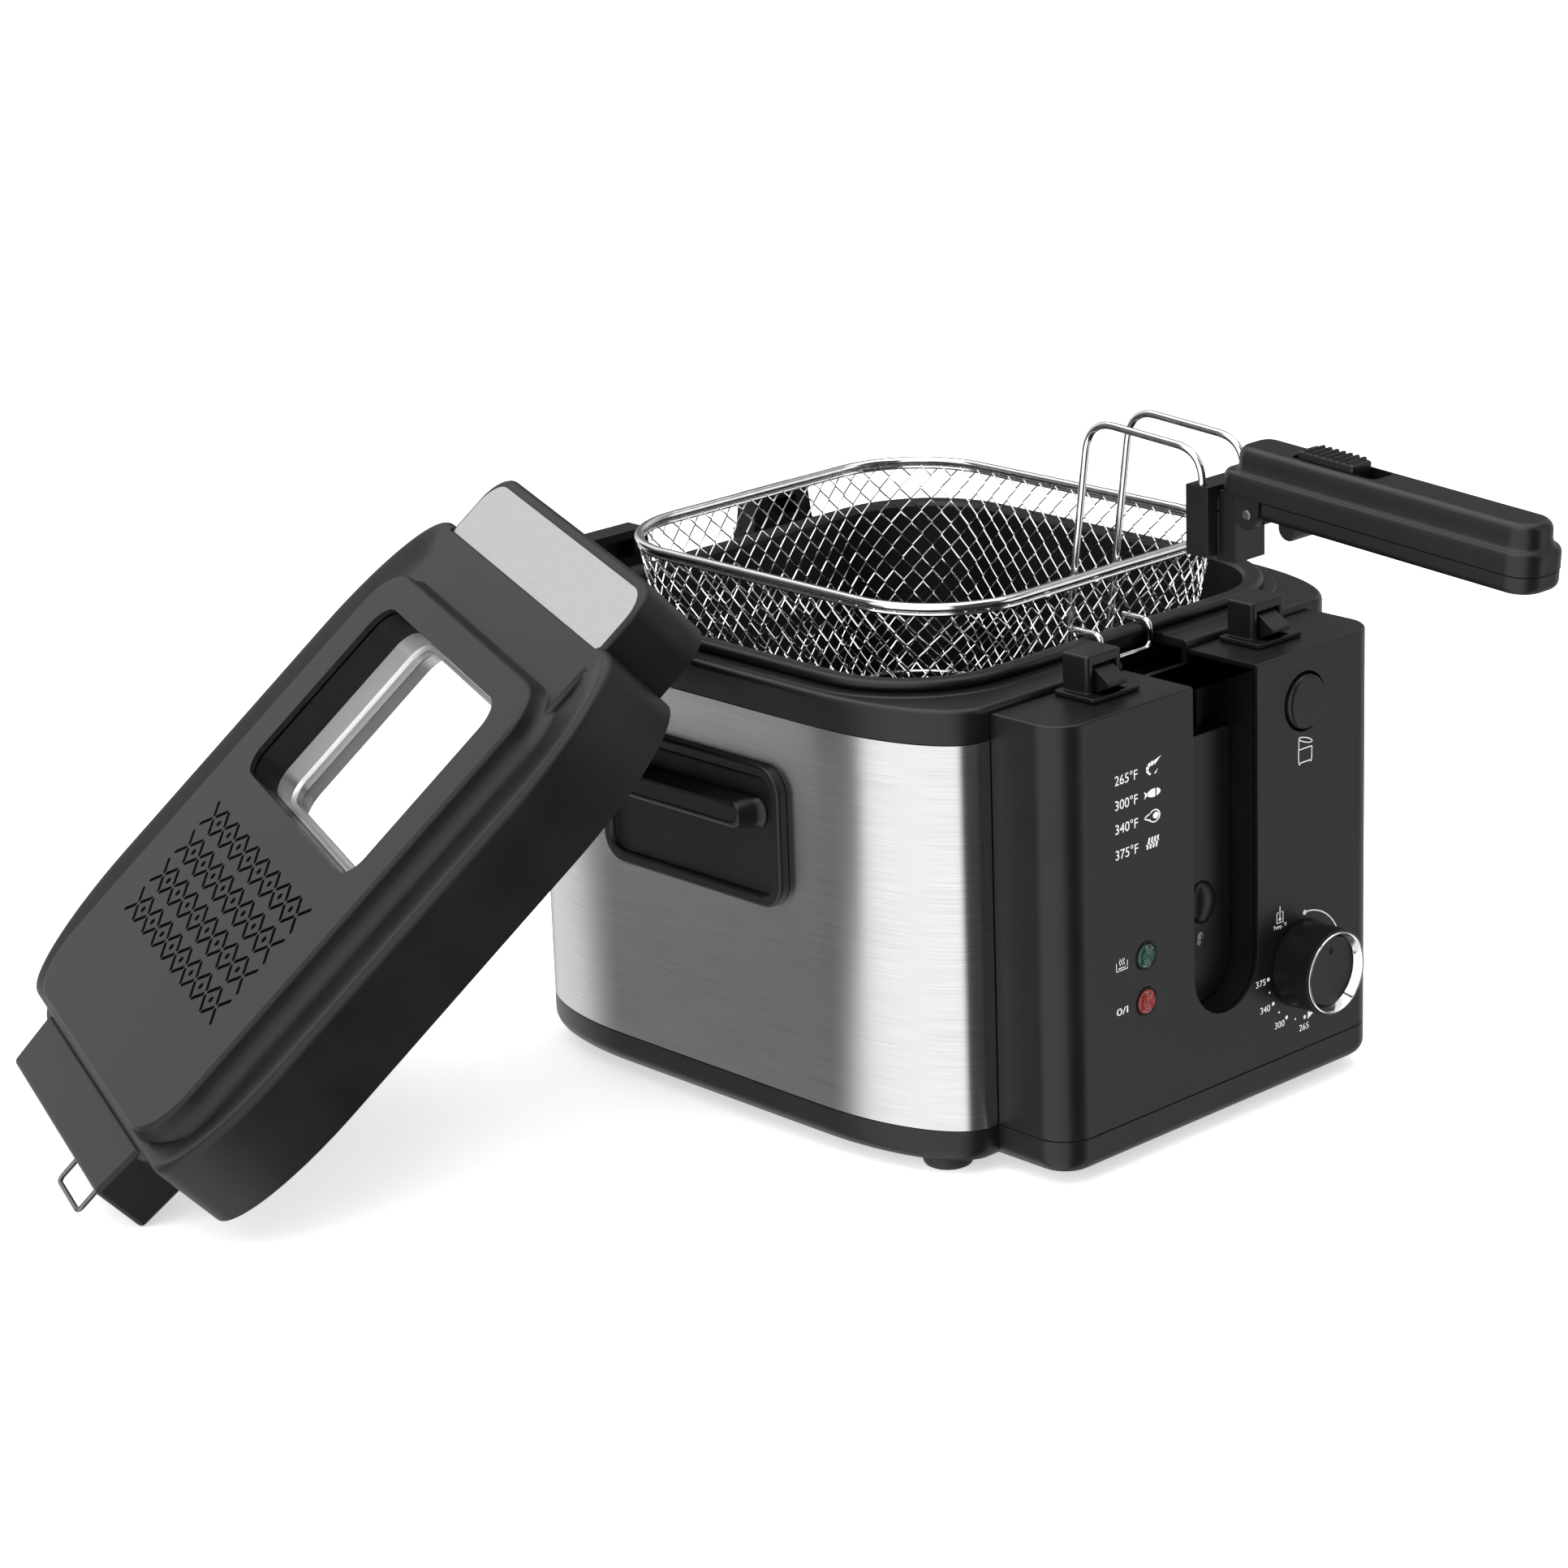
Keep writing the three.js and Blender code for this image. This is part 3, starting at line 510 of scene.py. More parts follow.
def refined(node, slot, body, width, segments=3, crease=40):
    """A copy of a CAD node with its flat faces made whole and its edges rounded."""
    obj = bpy.data.objects.new(node + "_shape", frame["nodes"][node].data.copy())
    bpy.context.scene.collection.objects.link(obj)
    obj.data.transform(FRYER.inverted())
    obj.matrix_world = FRYER
    mesh = bmesh.new()
    mesh.from_mesh(obj.data)
    bmesh.ops.remove_doubles(mesh, verts=mesh.verts, dist=WELD)
    bmesh.ops.dissolve_limit(mesh, angle_limit=math.radians(1), verts=mesh.verts, edges=mesh.edges)
    mesh.to_mesh(obj.data)
    mesh.free()
    soften(obj, width, segments, 35)
    return dress(obj, slot, body, (node,), crease)


# -------------------- camera, lights and floor
def make_camera():
    """Three quarters from the left front, a little above, with a long lens."""
    azimuth, elevation, roll = math.radians(-43), math.radians(18.01), math.radians(-2.1)
    distance, target = 2190.3, Vector((2.82, 123.88, 100.4))
    level = math.cos(elevation)
    back = Vector((math.sin(azimuth) * level, -math.cos(azimuth) * level, math.sin(elevation)))
    right = Vector((math.cos(azimuth), math.sin(azimuth), 0))
    up = back.cross(right)
    x_axis = right * math.cos(roll) + up * math.sin(roll)
    y_axis = up * math.cos(roll) - right * math.sin(roll)
    camera = bpy.data.objects.new("camera", bpy.data.cameras.new("camera"))
    bpy.context.scene.collection.objects.link(camera)
    camera.data.sensor_width = 36
    camera.data.lens = 103.41
    axes = Matrix((x_axis, y_axis, back)).transposed().to_4x4()
    camera.matrix_world = Matrix.Translation(ORIGIN + (target + back * distance) * MM) @ axes
    bpy.context.scene.camera = camera


def lamp_panel(name, place, aim, width, height, power):
    data = bpy.data.lights.new(name, "AREA")
    data.shape = "RECTANGLE"
    data.size, data.size_y = width, height
    data.energy = power
    light = bpy.data.objects.new(name, data)
    bpy.context.scene.collection.objects.link(light)
    light.location = place
    direction = Vector(aim) - Vector(place)
    light.rotation_mode = "QUATERNION"
    light.rotation_quaternion = direction.to_track_quat("-Z", "Y")


# The studio's walls: (turns round the object from the left through the front, brightness).
WALLS = (
    (0.0, 0.95), (0.145, 0.95), (0.168, 0.04), (0.3, 0.04), (0.32, 0.6), (0.355, 0.9), (0.378, 0.6),
    (0.402, 0.16), (0.47, 0.3), (0.52, 0.42), (0.6, 0.1), (0.66, 0.12), (0.725, 0.6), (0.81, 0.6),
    (0.85, 0.12), (0.9, 0.1), (0.922, 0.95), (1.0, 0.95),
)
WALL_STRENGTH = 2.0


def make_walls():
    """Bright and dark walls that light the object, while the camera sees plain white behind it."""
    world = bpy.data.worlds.new("studio")
    bpy.context.scene.world = world
    world.use_nodes = True
    nodes, links = world.node_tree.nodes, world.node_tree.links
    walls = nodes["Background"]
    walls.inputs["Strength"].default_value = WALL_STRENGTH
    round_about = nodes.new("ShaderNodeTexGradient")
    round_about.gradient_type = "RADIAL"
    links.new(nodes.new("ShaderNodeTexCoord").outputs["Generated"], round_about.inputs["Vector"])
    ramp = nodes.new("ShaderNodeValToRGB")
    stops = ramp.color_ramp.elements
    for place, _ in WALLS[1:-1]:
        stops.new(place)
    for stop, (place, value) in zip(stops, WALLS):
        stop.position = place
        stop.color = (value, value, value, 1)
    links.new(round_about.outputs["Fac"], ramp.inputs["Fac"])
    links.new(ramp.outputs["Color"], walls.inputs["Color"])
    plain = nodes.new("ShaderNodeBackground")
    plain.inputs["Color"].default_value = (1, 1, 1, 1)
    plain.inputs["Strength"].default_value = 1.0
    mix = nodes.new("ShaderNodeMixShader")
    links.new(nodes.new("ShaderNodeLightPath").outputs["Is Camera Ray"], mix.inputs["Fac"])
    links.new(walls.outputs["Background"], mix.inputs[1])
    links.new(plain.outputs["Background"], mix.inputs[2])
    links.new(mix.outputs["Shader"], nodes["World Output"].inputs["Surface"])


def make_floor():
    """A pale floor that glows a little, so that shadows on it stay soft, and that reflections leave out."""
    bpy.ops.mesh.primitive_circle_add(vertices=96, radius=12, fill_type="NGON")
    floor = bpy.context.object
    floor.name = "floor"
    floor.visible_glossy = False
    paint = Paint("floor", 1000)
    cloud = paint.noise(0.004, 2)
    paint.colour(cloud, (0.93, 0.93, 0.93), (0.95, 0.95, 0.95))
    paint.roughness(cloud, 0.7, 0.8)
    paint.set(specular_ior_level=0.0, emission_color=(1, 1, 1, 1), emission_strength=0.55)
    floor.data.materials.append(paint.material)


def make_studio():
    make_walls()
    lamp_panel("overhead", (0.0, 0.2, 2.4), (0.05, 0.1, 0.1), 3.2, 3.2, 62)
    make_floor()
    bpy.context.scene.view_settings.view_transform = "Standard"


# -------------------- housing
def make_body():
    """The steel wrap, the tray under the body and the control panel, and the feet."""
    shell = [(0, WRAP_LOW), (0, WRAP_TOP), (1, WRAP_TOP), (1, WRAP_LOW)]
    piece("steel_wrap", lofted(body_plan, shell, closed=True), "brushed_steel", nodes=("side_wrap",))

    outside = edged(6.3, 22, 7, 0.6, 6)
    tray = raw("tray", lofted(body_plan, outside), FRYER)
    front = plan(-PANEL_HALF, PANEL_HALF, PANEL_FRONT, -60, PANEL_CORNER, n=12)
    carve(tray, lofted(front, outside), "UNION")
    carve(tray, lofted(body_plan, [(WALL, 9), (WALL, 23)]))
    dress(tray, "housing_black", "fryer", ("base_tray",))

    pad = [(0, 0), (9.6, 0), (10.5, 0.5), (11.2, 1.6), (11.5, 3), (11.5, 6), (0, 6)]
    for end, y in (("front", FOOT_FRONT), ("back", FOOT_BACK)):
        for side, sign in SIDES:
            name = f"foot_{end}_{side}"
            piece(name + "_pad", turned(pad, (FOOT_X * sign, y, 0), 40, "up"), "rubber", nodes=(name,))


def make_deck():
    """A skirt over the wrap, and a step and a turned-down lip round the pot's mouth."""
    outer = [(3, WRAP_TOP + 0.5), (0, WRAP_TOP + 0.5)] + arc(3, DECK_TOP - 3, 3, 0, 90, 5)
    rings = [[(x, y, z) for x, y in body_plan(inset)] for inset, z in outer]
    step = [(-15.4, DECK_TOP), (-14.9, DECK_TOP + 0.5), (-14.2, DECK_TOP + 0.6), (-5.2, DECK_TOP + 0.6)]
    lip = [(-3.4, DECK_TOP), (-2.6, DECK_TOP - 1.5), (-2.6, DECK_TOP - 12)]
    lip += [(-5, DECK_TOP - 12), (-5, DECK_TOP - 4)]
    rings += [[(x, y, z) for x, y in pot_plan(inset)] for inset, z in step + lip]
    rings.append([(x, y, DECK_TOP - 4) for x, y in body_plan(3)])
    deck = raw("deck", skinned(rings, closed=True), FRYER)
    carve(deck, box(-SLOT_HALF, SLOT_HALF, -126.5, -98.5, 204, 230))
    dress(deck, "housing_black", "fryer", ("top_deck",))


def slot_plan(half, top):
    """The slot seen from the front: open at the top, a half circle below."""

    def outline(inset):
        r = half - inset
        return [(r, top), (-r, top)] + swept(0, SLOT_CENTRE, r, 180, 360, 28)

    return outline


def make_panel():
    """The control housing, with its slot, the holes for the controls and the openings for the latches."""
    sides = plan(-PANEL_HALF, PANEL_HALF, PANEL_FRONT, -121.8, PANEL_CORNER, 0.3, n=20)
    shell = raw("control_panel", lofted(sides, edged(PANEL_LOW, PANEL_TOP, 0.4, 1.3, 3)), FRYER)
    half = PANEL_HALF - WALL
    inside = plan(-half, half, PANEL_FRONT + WALL, -100, PANEL_CORNER - WALL, 0.3, n=20)
    carve(shell, lofted(inside, [(0, PANEL_LOW + WALL), (0, PANEL_TOP - WALL)]))
    carve(shell, facing(slot_plan(SLOT_HALF, PANEL_TOP + 9), [(0, PANEL_FRONT - 9), (0, -100)]))
    lamps = [(LAMP_X, z, 6.5) for z in (LAMP_GREEN, LAMP_RED)]
    for x, z, radius in [(BUTTON_X, BUTTON_Z, 13.7), (KNOB_X, KNOB_Z, 4)] + lamps:
        carve(shell, turned([(0, -6), (radius, -6), (radius, 6), (0, 6)], (x, PANEL_FRONT, z), 48))
    for _, sign in SIDES:
        x = sign * LATCH_X
        carve(shell, box(x - 7, x + 7, -146, -126.8, PANEL_TOP - 6, PANEL_TOP + 6))
    soften(shell, 0.5, 2, 60)
    dress(shell, "housing_black", "fryer", ("control_housing",), 40)


def make_slot():
    """The channel for the folded handle, the face at its back with a bump and two tabs, and its screw."""
    channel = slot_plan(SLOT_HALF + 2, PANEL_TOP - 2.8)
    front = PANEL_FRONT + 2.8
    wall = [(0, front), (0, LINER_BACK), (2, LINER_BACK), (2, front)]
    liner = raw("slot_channel", facing(channel, wall, True), FRYER)
    carve(liner, facing(channel, [(0, LINER_BACK - 2), (0, LINER_BACK)]), "UNION")
    dress(liner, "housing_black", "fryer", ("slot_liner",))

    rim = [(0, SLOT_BACK), (0, SLOT_FACE + 1.2), (0.4, SLOT_FACE + 0.4), (1.2, SLOT_FACE)]
    face = raw("slot_face", facing(slot_plan(SLOT_HALF - 0.3, SLOT_SHELF), rim), FRYER)
    dome = [(8 * c, 4.6 * s) for c, s in swept(0, 0, 1, 0, 90, 10)]
    vertices, faces = turned([(8, -2)] + dome, (0.8, SLOT_FACE, 0), 48)
    carve(face, ([(x, y, SLOT_BUMP_Z + z * 1.25) for x, y, z in vertices], faces), "UNION")
    for left, right, top in ((7, 11, 200), (-17, -10, 196)):
        carve(face, box(left, right, SLOT_BACK - 5, SLOT_BACK, SLOT_SHELF - 2, top), "UNION")
    dress(face, "housing_black", "fryer", ("slot_panel",))

    head = [(0, 0), (3.2, 0), (3.2, 0.5), (2.6, 0.8), (0, 1)]
    screw = raw("slot_screw_head", turned(head, (0, SLOT_FACE + 0.3, SLOT_SCREW_Z), 40), FRYER)
    for wide, tall in ((1.9, 0.35), (0.35, 1.9)):
        low, high = SLOT_SCREW_Z - tall, SLOT_SCREW_Z + tall
        carve(screw, box(-wide, wide, SLOT_FACE - 5, SLOT_FACE - 0.2, low, high))
    dress(screw, "plain_steel", "fryer", ("slot_screw",))


def make_gland():
    """The cord's gland: a collar, then four ribs that narrow towards its end."""
    profile = [(3.6, 0), (11, 0), (11, 2.4), (10.4, 3), (7.4, 3.6)]
    for i in range(4):
        y, r = 4.6 + 2.9 * i, 7 - 0.4 * i
        profile += [(r, y), (r, y + 1.6), (r - 0.9, y + 1.9), (r - 0.9, y + 2.6)]
    profile += [(4.9, 16), (3.6, 16)]
    surface = turned(profile, (-75, BODY_BACK + 0.3, 42), 48, "back", True)
    piece("gland", surface, "rubber", nodes=("cord_gland",))


def make_latches():
    """Posts with a hook in each, the hinge posts at the back, and the button that frees the lid."""
    hook = [(-131, 205.3), (-137, 205.3), (-137, 213), (-142, 213.6), (-148.6, 216.6), (-148.6, 218.4)]
    hook += [(-138, 225.4), (-131, 225.4)]
    for side, sign in SIDES:
        refined(f"latch_post_{side}", "housing_black", "fryer", 0.45)
        spans = [(0, sign * LATCH_X - 6), (0, sign * LATCH_X + 6)]
        wedge = raw(f"latch_hook_{side}_wedge", sideways(fixed(hook), spans), FRYER)
        soften(wedge, 0.35, 2, 20)
        dress(wedge, "housing_black", "lid_release", (f"latch_hook_{side}",))
        refined(f"hinge_post_{side}", "housing_black", "fryer", 0.8)
    cap = [(0, -14), (9, -14), (9, -4), (12.6, -4), (12.6, 0), (12.4, 1), (11.8, 1.8), (10.9, 2.2)]
    surface = turned(cap + [(10, 2.3), (0, 2.3)], (BUTTON_X, PANEL_FRONT, BUTTON_Z))
    piece("button_cap", surface, "housing_black", "lid_release", ("release_button",))


def make_carry_handles():
    """On each side a dished plate with a raised border, and a bar that stands out of it."""
    plate = plan(-31, 87, 110, 176, 13)
    dish = [(0, 0), (0, 3.4)] + arc(1.6, 3.4, 1.6, 0, 90)
    dish += [(4.6, 5), (5.4, 4.4), (6, 3.6), (6.4, 2.6), (8, 2.2)]
    # The bar, as (inset, distance out): a slanted root at each end, and a flat front with a fine rim.
    bar = rounded(-16, 72, 147, 160, 5.6)
    rim = GRIP_REACH - 0.5
    spans = [(-5, 0.3), (-3.5, 0.8), (-1, 3.4), (0.5, GRIP_REACH - 1.6), (1.1, rim)]
    spans += [(2, GRIP_REACH), (2.9, GRIP_REACH), (3.3, rim), (4, rim)]
    for side, sign in SIDES:
        surface = sideways(plate, [(inset, sign * (GRIP_FACE + out)) for inset, out in dish])
        piece(f"carry_plate_{side}_dish", surface, "housing_black", nodes=(f"carry_plate_{side}",))
        rings = []
        for inset, out in spans:
            x = sign * (GRIP_FACE + 2.6 + out)
            wide, tall = 1 - inset / 44, 1 - min(max(inset, -0.6), 4) / 6.5
            rings.append([(x, GRIP_Y + (y - GRIP_Y) * wide, GRIP_Z + (z - GRIP_Z) * tall) for y, z in bar])
        piece(f"carry_grip_{side}_bar", skinned(rings), "housing_black", nodes=(f"carry_grip_{side}",))


# -------------------- controls
def make_knob():
    """A barrel, a bright ring in its end, and a face with a dimple that shows the setting."""
    centre = (KNOB_X, PANEL_FRONT, KNOB_Z)
    p = KNOB_PROUD
    barrel = [(3.4, 14), (3.4, 0.3), (20.2, 0.3), (20.3, 1), (20.1, 9), (20, p - 1), (19.8, p - 0.3)]
    barrel += [(19.4, p), (19.2, p - 0.2), (19.2, p - 4.6), (0, p - 4.6)]
    piece("knob_barrel_body", turned(barrel, centre, 96), "housing_black", "knob", ("knob_barrel",))
    ring = [(16.1, p - 4.5), (19.1, p - 4.5), (19.1, p), (18.9, p + 0.35), (18.5, p + 0.5)]
    ring += [(18.1, p + 0.35), (17.8, p - 0.2), (16.5, p - 3.2), (16.1, p - 3.8)]
    piece("knob_ring_bright", turned(ring, centre, 96, closed=True), "chrome", "knob", ("knob_ring",))
    end = [(0, p - 4.5), (15.9, p - 4.5), (15.9, p - 3.6), (15.5, p - 3.2), (14.8, p - 3.1), (0, p - 2.8)]
    face = raw("knob_face_disc", turned(end, centre, 96), FRYER)
    dimple = [(1.6 * c, 1.2 * s) for c, s in swept(0, 0, 1, -90, 0, 6)] + [(1.6, 2), (0, 2)]
    carve(face, turned(dimple, (KNOB_X, PANEL_FRONT - p + 3, KNOB_Z + 9.8), 24))
    dress(face, "housing_black", "knob", ("knob_face",))


def make_lamps():
    """Lenses with three rings moulded in, each in a black bezel."""
    for name, z in (("green", LAMP_GREEN), ("red", LAMP_RED)):
        profile = [(0, -4), (5.6, -4), (5.6, 0.2), (5.3, 0.8), (4.7, 1.2)]
        for ring in range(3):
            r = 4.1 - 1.3 * ring
            profile += [(r, 1.5), (r - 0.4, 1.2), (r - 0.8, 1.5)]
        centre = (LAMP_X, PANEL_FRONT, z)
        surface = turned(profile + [(0, 1.6)], centre, 48)
        piece(f"lens_{name}", surface, f"{name}_lens", nodes=(f"lamp_lens_{name}",))
        bezel = [(5.7, -1), (6.45, -1), (6.45, 0.3), (6.1, 0.6), (5.7, 0.3)]
        piece(f"bezel_{name}", turned(bezel, centre, 48, closed=True), "housing_black")


# -------------------- printed marks
def ink(name, outlines):
    """Flat marks on the panel's front, 0.05 mm thick, drawn as (x, z) outlines."""
    levels = (PANEL_FRONT - 0.01, PANEL_FRONT - 0.06)
    marks = [skinned([[(x, y, z) for x, z in outline] for y in levels]) for outline in outlines]
    piece(name, merged(*marks), "white_print")


def words(name, text, x, z, height, width):
    """Plain lettering, its middle at (x, z)."""
    data = bpy.data.curves.new(name, "FONT")
    data.body = text
    data.extrude = 0.024
    source = bpy.data.objects.new(name, data)
    bpy.context.scene.collection.objects.link(source)
    bpy.context.view_layer.update()
    mesh = bpy.data.meshes.new_from_object(source.evaluated_get(bpy.context.evaluated_depsgraph_get()))
    bpy.data.objects.remove(source)
    xs, ys = [v.co.x for v in mesh.vertices], [v.co.y for v in mesh.vertices]
    wide, tall = width / (max(xs) - min(xs)), height / (max(ys) - min(ys))
    middle_x, middle_y = (max(xs) + min(xs)) / 2, (max(ys) + min(ys)) / 2
    for v in mesh.vertices:
        across, up = (v.co.x - middle_x) * wide, (v.co.y - middle_y) * tall
        v.co = (x + across, PANEL_FRONT - 0.04 - v.co.z, z + up)
    obj = bpy.data.objects.new(name, mesh)
    bpy.context.scene.collection.objects.link(obj)
    obj.matrix_world = FRYER
    dress(obj, "white_print", "fryer")


def stroke(points, width):
    """The outline of a line of that width along some points."""
    left, right = [], []
    for i, (x, z) in enumerate(points):
        x0, z0 = points[max(i - 1, 0)]
        x1, z1 = points[min(i + 1, len(points) - 1)]
        length = math.hypot(x1 - x0, z1 - z0)
        nx, nz = -(z1 - z0) / length * width / 2, (x1 - x0) / length * width / 2
        left.append((x + nx, z + nz))
        right.append((x - nx, z - nz))
    return left + right[::-1]


def shrimp():
    marks = []
    for i in range(5):
        start = 70 + 38 * i
        marks.append(stroke(swept(0, 0, 2.4, start, start + 31, 4), 1.9 - 0.25 * i))
    return marks + [[(0.8, 3.2), (4.6, 4.6), (1.4, 1.4)], [(0.9, -2.6), (3, -0.6), (1.9, -2.6)]]


def fish():
    body = [(0.8 + 3.4 * c, 1.9 * s) for c, s in disc(0, 0, 1, 60)]
    head = sorted((p for p in body if p[0] > 2.1), key=lambda p: math.atan2(p[1], p[0] - 2.6))
    trunk = [p for p in body if p[0] <= 1.6]
    tail = [(-2, 0), (-4.2, 1.8), (-3.6, 0), (-4.2, -1.8)]
    return [head, trunk, tail]


def drumstick():
    meat = stroke(swept(1, 0.2, 2.7, -160, 140, 25), 0.55)
    bone = stroke([(-1.3, 1.8), (-3.4, 1), (-4, 0.3), (-1.6, -1.2)], 0.6)
    return [meat, bone, disc(1.7, 0.3, 1.5, 14)]


def fries():
    sticks = [stroke([(-2.8 + 1.5 * i, -2.4), (-1.6 + 1.5 * i, 2.6)], 0.8) for i in range(4)]
    return sticks + [stroke([(-3.4, -0.6), (3.2, 0.4)], 0.7)]


def make_food_marks():
    """A temperature and a drawing in each row."""
    rows = [(180.7, "265°F", shrimp), (169.6, "300°F", fish)]
    rows += [(158.8, "340°F", drumstick), (147.2, "375°F", fries)]
    for level, text, icon in rows:
        words(f"print_{text[:3]}", text, -64.6, level, 4.6, 14.4)
        placed = [[(ICON_X + ICON_WIDEN * x, level + z) for x, z in mark] for mark in icon()]
        ink(f"icon_{text[:3]}", placed)


def make_scale():
    """Round the knob: numbers at the larger dots, an arrow at the lowest setting, an arc from off."""
    x, z, radius = SCALE_X, SCALE_Z, SCALE_RADIUS
    dots = swept(x, z, radius, 180, 270, 6)
    marks = [disc(*dot, 0.5 if i % 2 else 0.95) for i, dot in enumerate(dots)]
    marks.append([(x + 2.2, z - radius - 1.6), (x + 6.4, z - radius + 0.9), (x + 2.2, z - radius + 2)])
    marks.append(disc(x, z + radius, 1.2))
    marks.append(stroke(swept(x, z, radius + 0.2, 88, 20), 0.6))
    ink("scale_marks", marks)
    for text, x, z in (("375", 22.9, 61.9), ("340", 25.9, 48.7), ("300", 35.8, 38.6), ("265", 52.7, 32.7)):
        words(f"scale_{text}", text, x, z, 3.1, 6.6)
    words("scale_unit", "Temp. °F", 36.1, 85.4, 2.5, 9)


def make_small_marks():
    """Off and on, a heated pan, a thermometer in a pan, and a pan with its lid open."""
    words("power_mark", "0/I", -68.7, LAMP_RED, 3.2, 7.2)

    thin = 0.38
    heat = [stroke([(-72.2, 98), (-72.2, 94.2), (-65.2, 94.2), (-65.2, 98)], thin)]
    heat.append(stroke([(-71, 95.2), (-66.4, 95.2)], thin))
    for i in range(3):
        wave = [(-70 + 1.3 * i + 0.35 * math.sin(k * 1.5), 96.4 + 0.5 * k) for k in range(7)]
        heat.append(stroke(wave, 0.34))
    ink("heat_mark", heat)

    thin = 0.42
    runs = [[(34, 92), (34, 87.4), (38.2, 87.4), (38.2, 92), (37.2, 92.4)], [(36.1, 89), (36.1, 95)]]
    dial = [stroke(run, thin) for run in runs + [[(34, 92), (35, 92.4)]]] + [disc(36.1, 89, 0.85)]
    ink("thermometer_mark", dial)

    pan = [(48.8, 165.2), (49, 158.9), (57.8, 158.9), (58, 165.2)]
    marks = [stroke(run, 0.45) for run in zip(pan, pan[1:] + pan[:1])]
    turns = [0.3 * k for k in range(22)]
    lid = [(53.6 + 4.6 * math.cos(t), 169 + 1.1 * math.sin(t) - 1.5 * math.cos(t)) for t in turns]
    marks += [stroke(lid, 0.4), stroke([(49, 165.4), (49.1, 169.8)], 0.4)]
    marks += [stroke([(x, 158.9), (x, 158.1)], 0.8) for x in (49.6, 57.2)]
    ink("open_lid_mark", marks)


# -------------------- pot and basket
def make_pot():
    """Outside from the floor up, over the rolled rim, and down the inside."""

    def wall(z, grow):
        return (6 * (RIM_LOW - z) / (RIM_LOW - POT_FLOOR) - grow, z)

    profile = [(24, POT_FLOOR), (14, POT_FLOOR + 1.5), (7.5, POT_FLOOR + 6)]
    profile += [wall(POT_FLOOR + 14, 1.6), wall(206, 1.6)]
    profile += [(-3.2, 213), (-5.5, RIM_LOW + 0.3), (-8.4, RIM_LOW)]
    profile += arc(-7.2, RIM_LOW + 2.6, 2.6, -60, 90, 7)
    profile += [(-3.5, RIM_HIGH), (-1.6, RIM_HIGH - 0.7), (-0.3, RIM_HIGH - 2.4), (0, 214)]
    profile += [wall(POT_FLOOR + 16, 0), (8, POT_FLOOR + 9), (12, POT_FLOOR + 4.5)]
    profile += [(18, POT_FLOOR + 2.4), (28, POT_FLOOR + 1.8)]
    piece("pot_shell", lofted(pot_plan, profile), "non_stick", "pot", ("oil_pot",))


def basket_plan(grow=0.0, scale=1.0):
    """The basket's outline at its rim, grown outward and then scaled about its middle."""
    outline = rounded(-103 - grow, 103 + grow, -91.5 - grow, 131.7 + grow, 48 + grow, n=24)
    return [(x * scale, BASKET_MIDDLE + (y - BASKET_MIDDLE) * scale) for x, y in outline]


def spaced(outline, step):
    """Points at an even spacing round a closed outline, each with the outward direction."""
    spans = [(a, b, max(math.dist(a, b), 1e-9)) for a, b in zip(outline, outline[1:] + outline[:1])]
    total = sum(length for _, _, length in spans)
    count = 2 * round(total / step / 2)
    found, travelled, k = [], 0.0, 0
    for i in range(count):
        target = total * i / count
        while travelled + spans[k][2] < target:
            travelled += spans[k][2]
            k += 1
        (ax, ay), (bx, by), length = spans[k]
        t = (target - travelled) / length
        found.append(((ax + (bx - ax) * t, ay + (by - ay) * t), ((by - ay) / length, (ax - bx) / length)))
    return found


def reach_at(outline, x):
    """How far back a closed outline goes at x."""
    found = []
    for (ax, ay), (bx, by) in zip(outline, outline[1:] + outline[:1]):
        if min(ax, bx) <= x <= max(ax, bx) and ax != bx:
            found.append(ay + (by - ay) * (x - ax) / (bx - ax))
    return max(found)


def zigzag(length, side):
    """A woven wire, hooked at every turn, as (distance along, sideways from -1 to 1, out of the sheet)."""
    points = []
    for k in range(int(length / MESH_DROP) + 1):
        level = k * MESH_DROP
        points.append((level - 0.7, side * 0.86, 0.4 * side))
        points.append((level, side * 1.05, 0))
        points.append((level + 0.7, side * 0.86, -0.4 * side))
        side = -side
    return [point for point in points if 0 <= point[0] <= length]


def woven_wall():
    """Wires that zigzag down the wall, hook round the wires beside them and turn in at the foot."""
    stations = spaced(basket_plan(), MESH_PITCH)
    half = math.dist(stations[0][0], stations[1][0]) / 2
    top = BASKET_TOP - 1.5
    depth = top - BASKET_FLOOR
    wires = []
    for index, ((x, y), (ox, oy)) in enumerate(stations):
        points = []
        for down, shift, out in zigzag(depth, 1 if index % 2 else -1):
            scale = 1 - (1 - BASKET_TAPER) * down / (BASKET_TOP - BASKET_FLOOR)
            proud = out - max(0.0, down - depth + MESH_CURL) ** 2 / (2 * MESH_CURL)
            sideways_by = half * shift
            px = (x - oy * sideways_by) * scale + ox * proud
            py = BASKET_MIDDLE + (y - BASKET_MIDDLE + ox * sideways_by) * scale + oy * proud
            points.append((px, py, top - down))
        wires.append(tube(points, MESH_WIRE, 5))
    return wires


def woven_floor():
    """Wires that zigzag from front to back."""
    outline = basket_plan(-3.5, BASKET_TAPER)
    width = max(x for x, _ in outline)
    count = round(2 * width / MESH_PITCH)
    wires = []
    for i in range(1, count):
        x = -width + 2 * width * i / count
        reach = reach_at(outline, x) - BASKET_MIDDLE
        points = []
        for forth, shift, out in zigzag(2 * reach, 1 if i % 2 else -1):
            y = BASKET_MIDDLE - reach + forth
            points.append((x + shift * width / count, y, BASKET_FLOOR + 0.9 + out))
        wires.append(tube(points, MESH_WIRE, 5))
    return wires


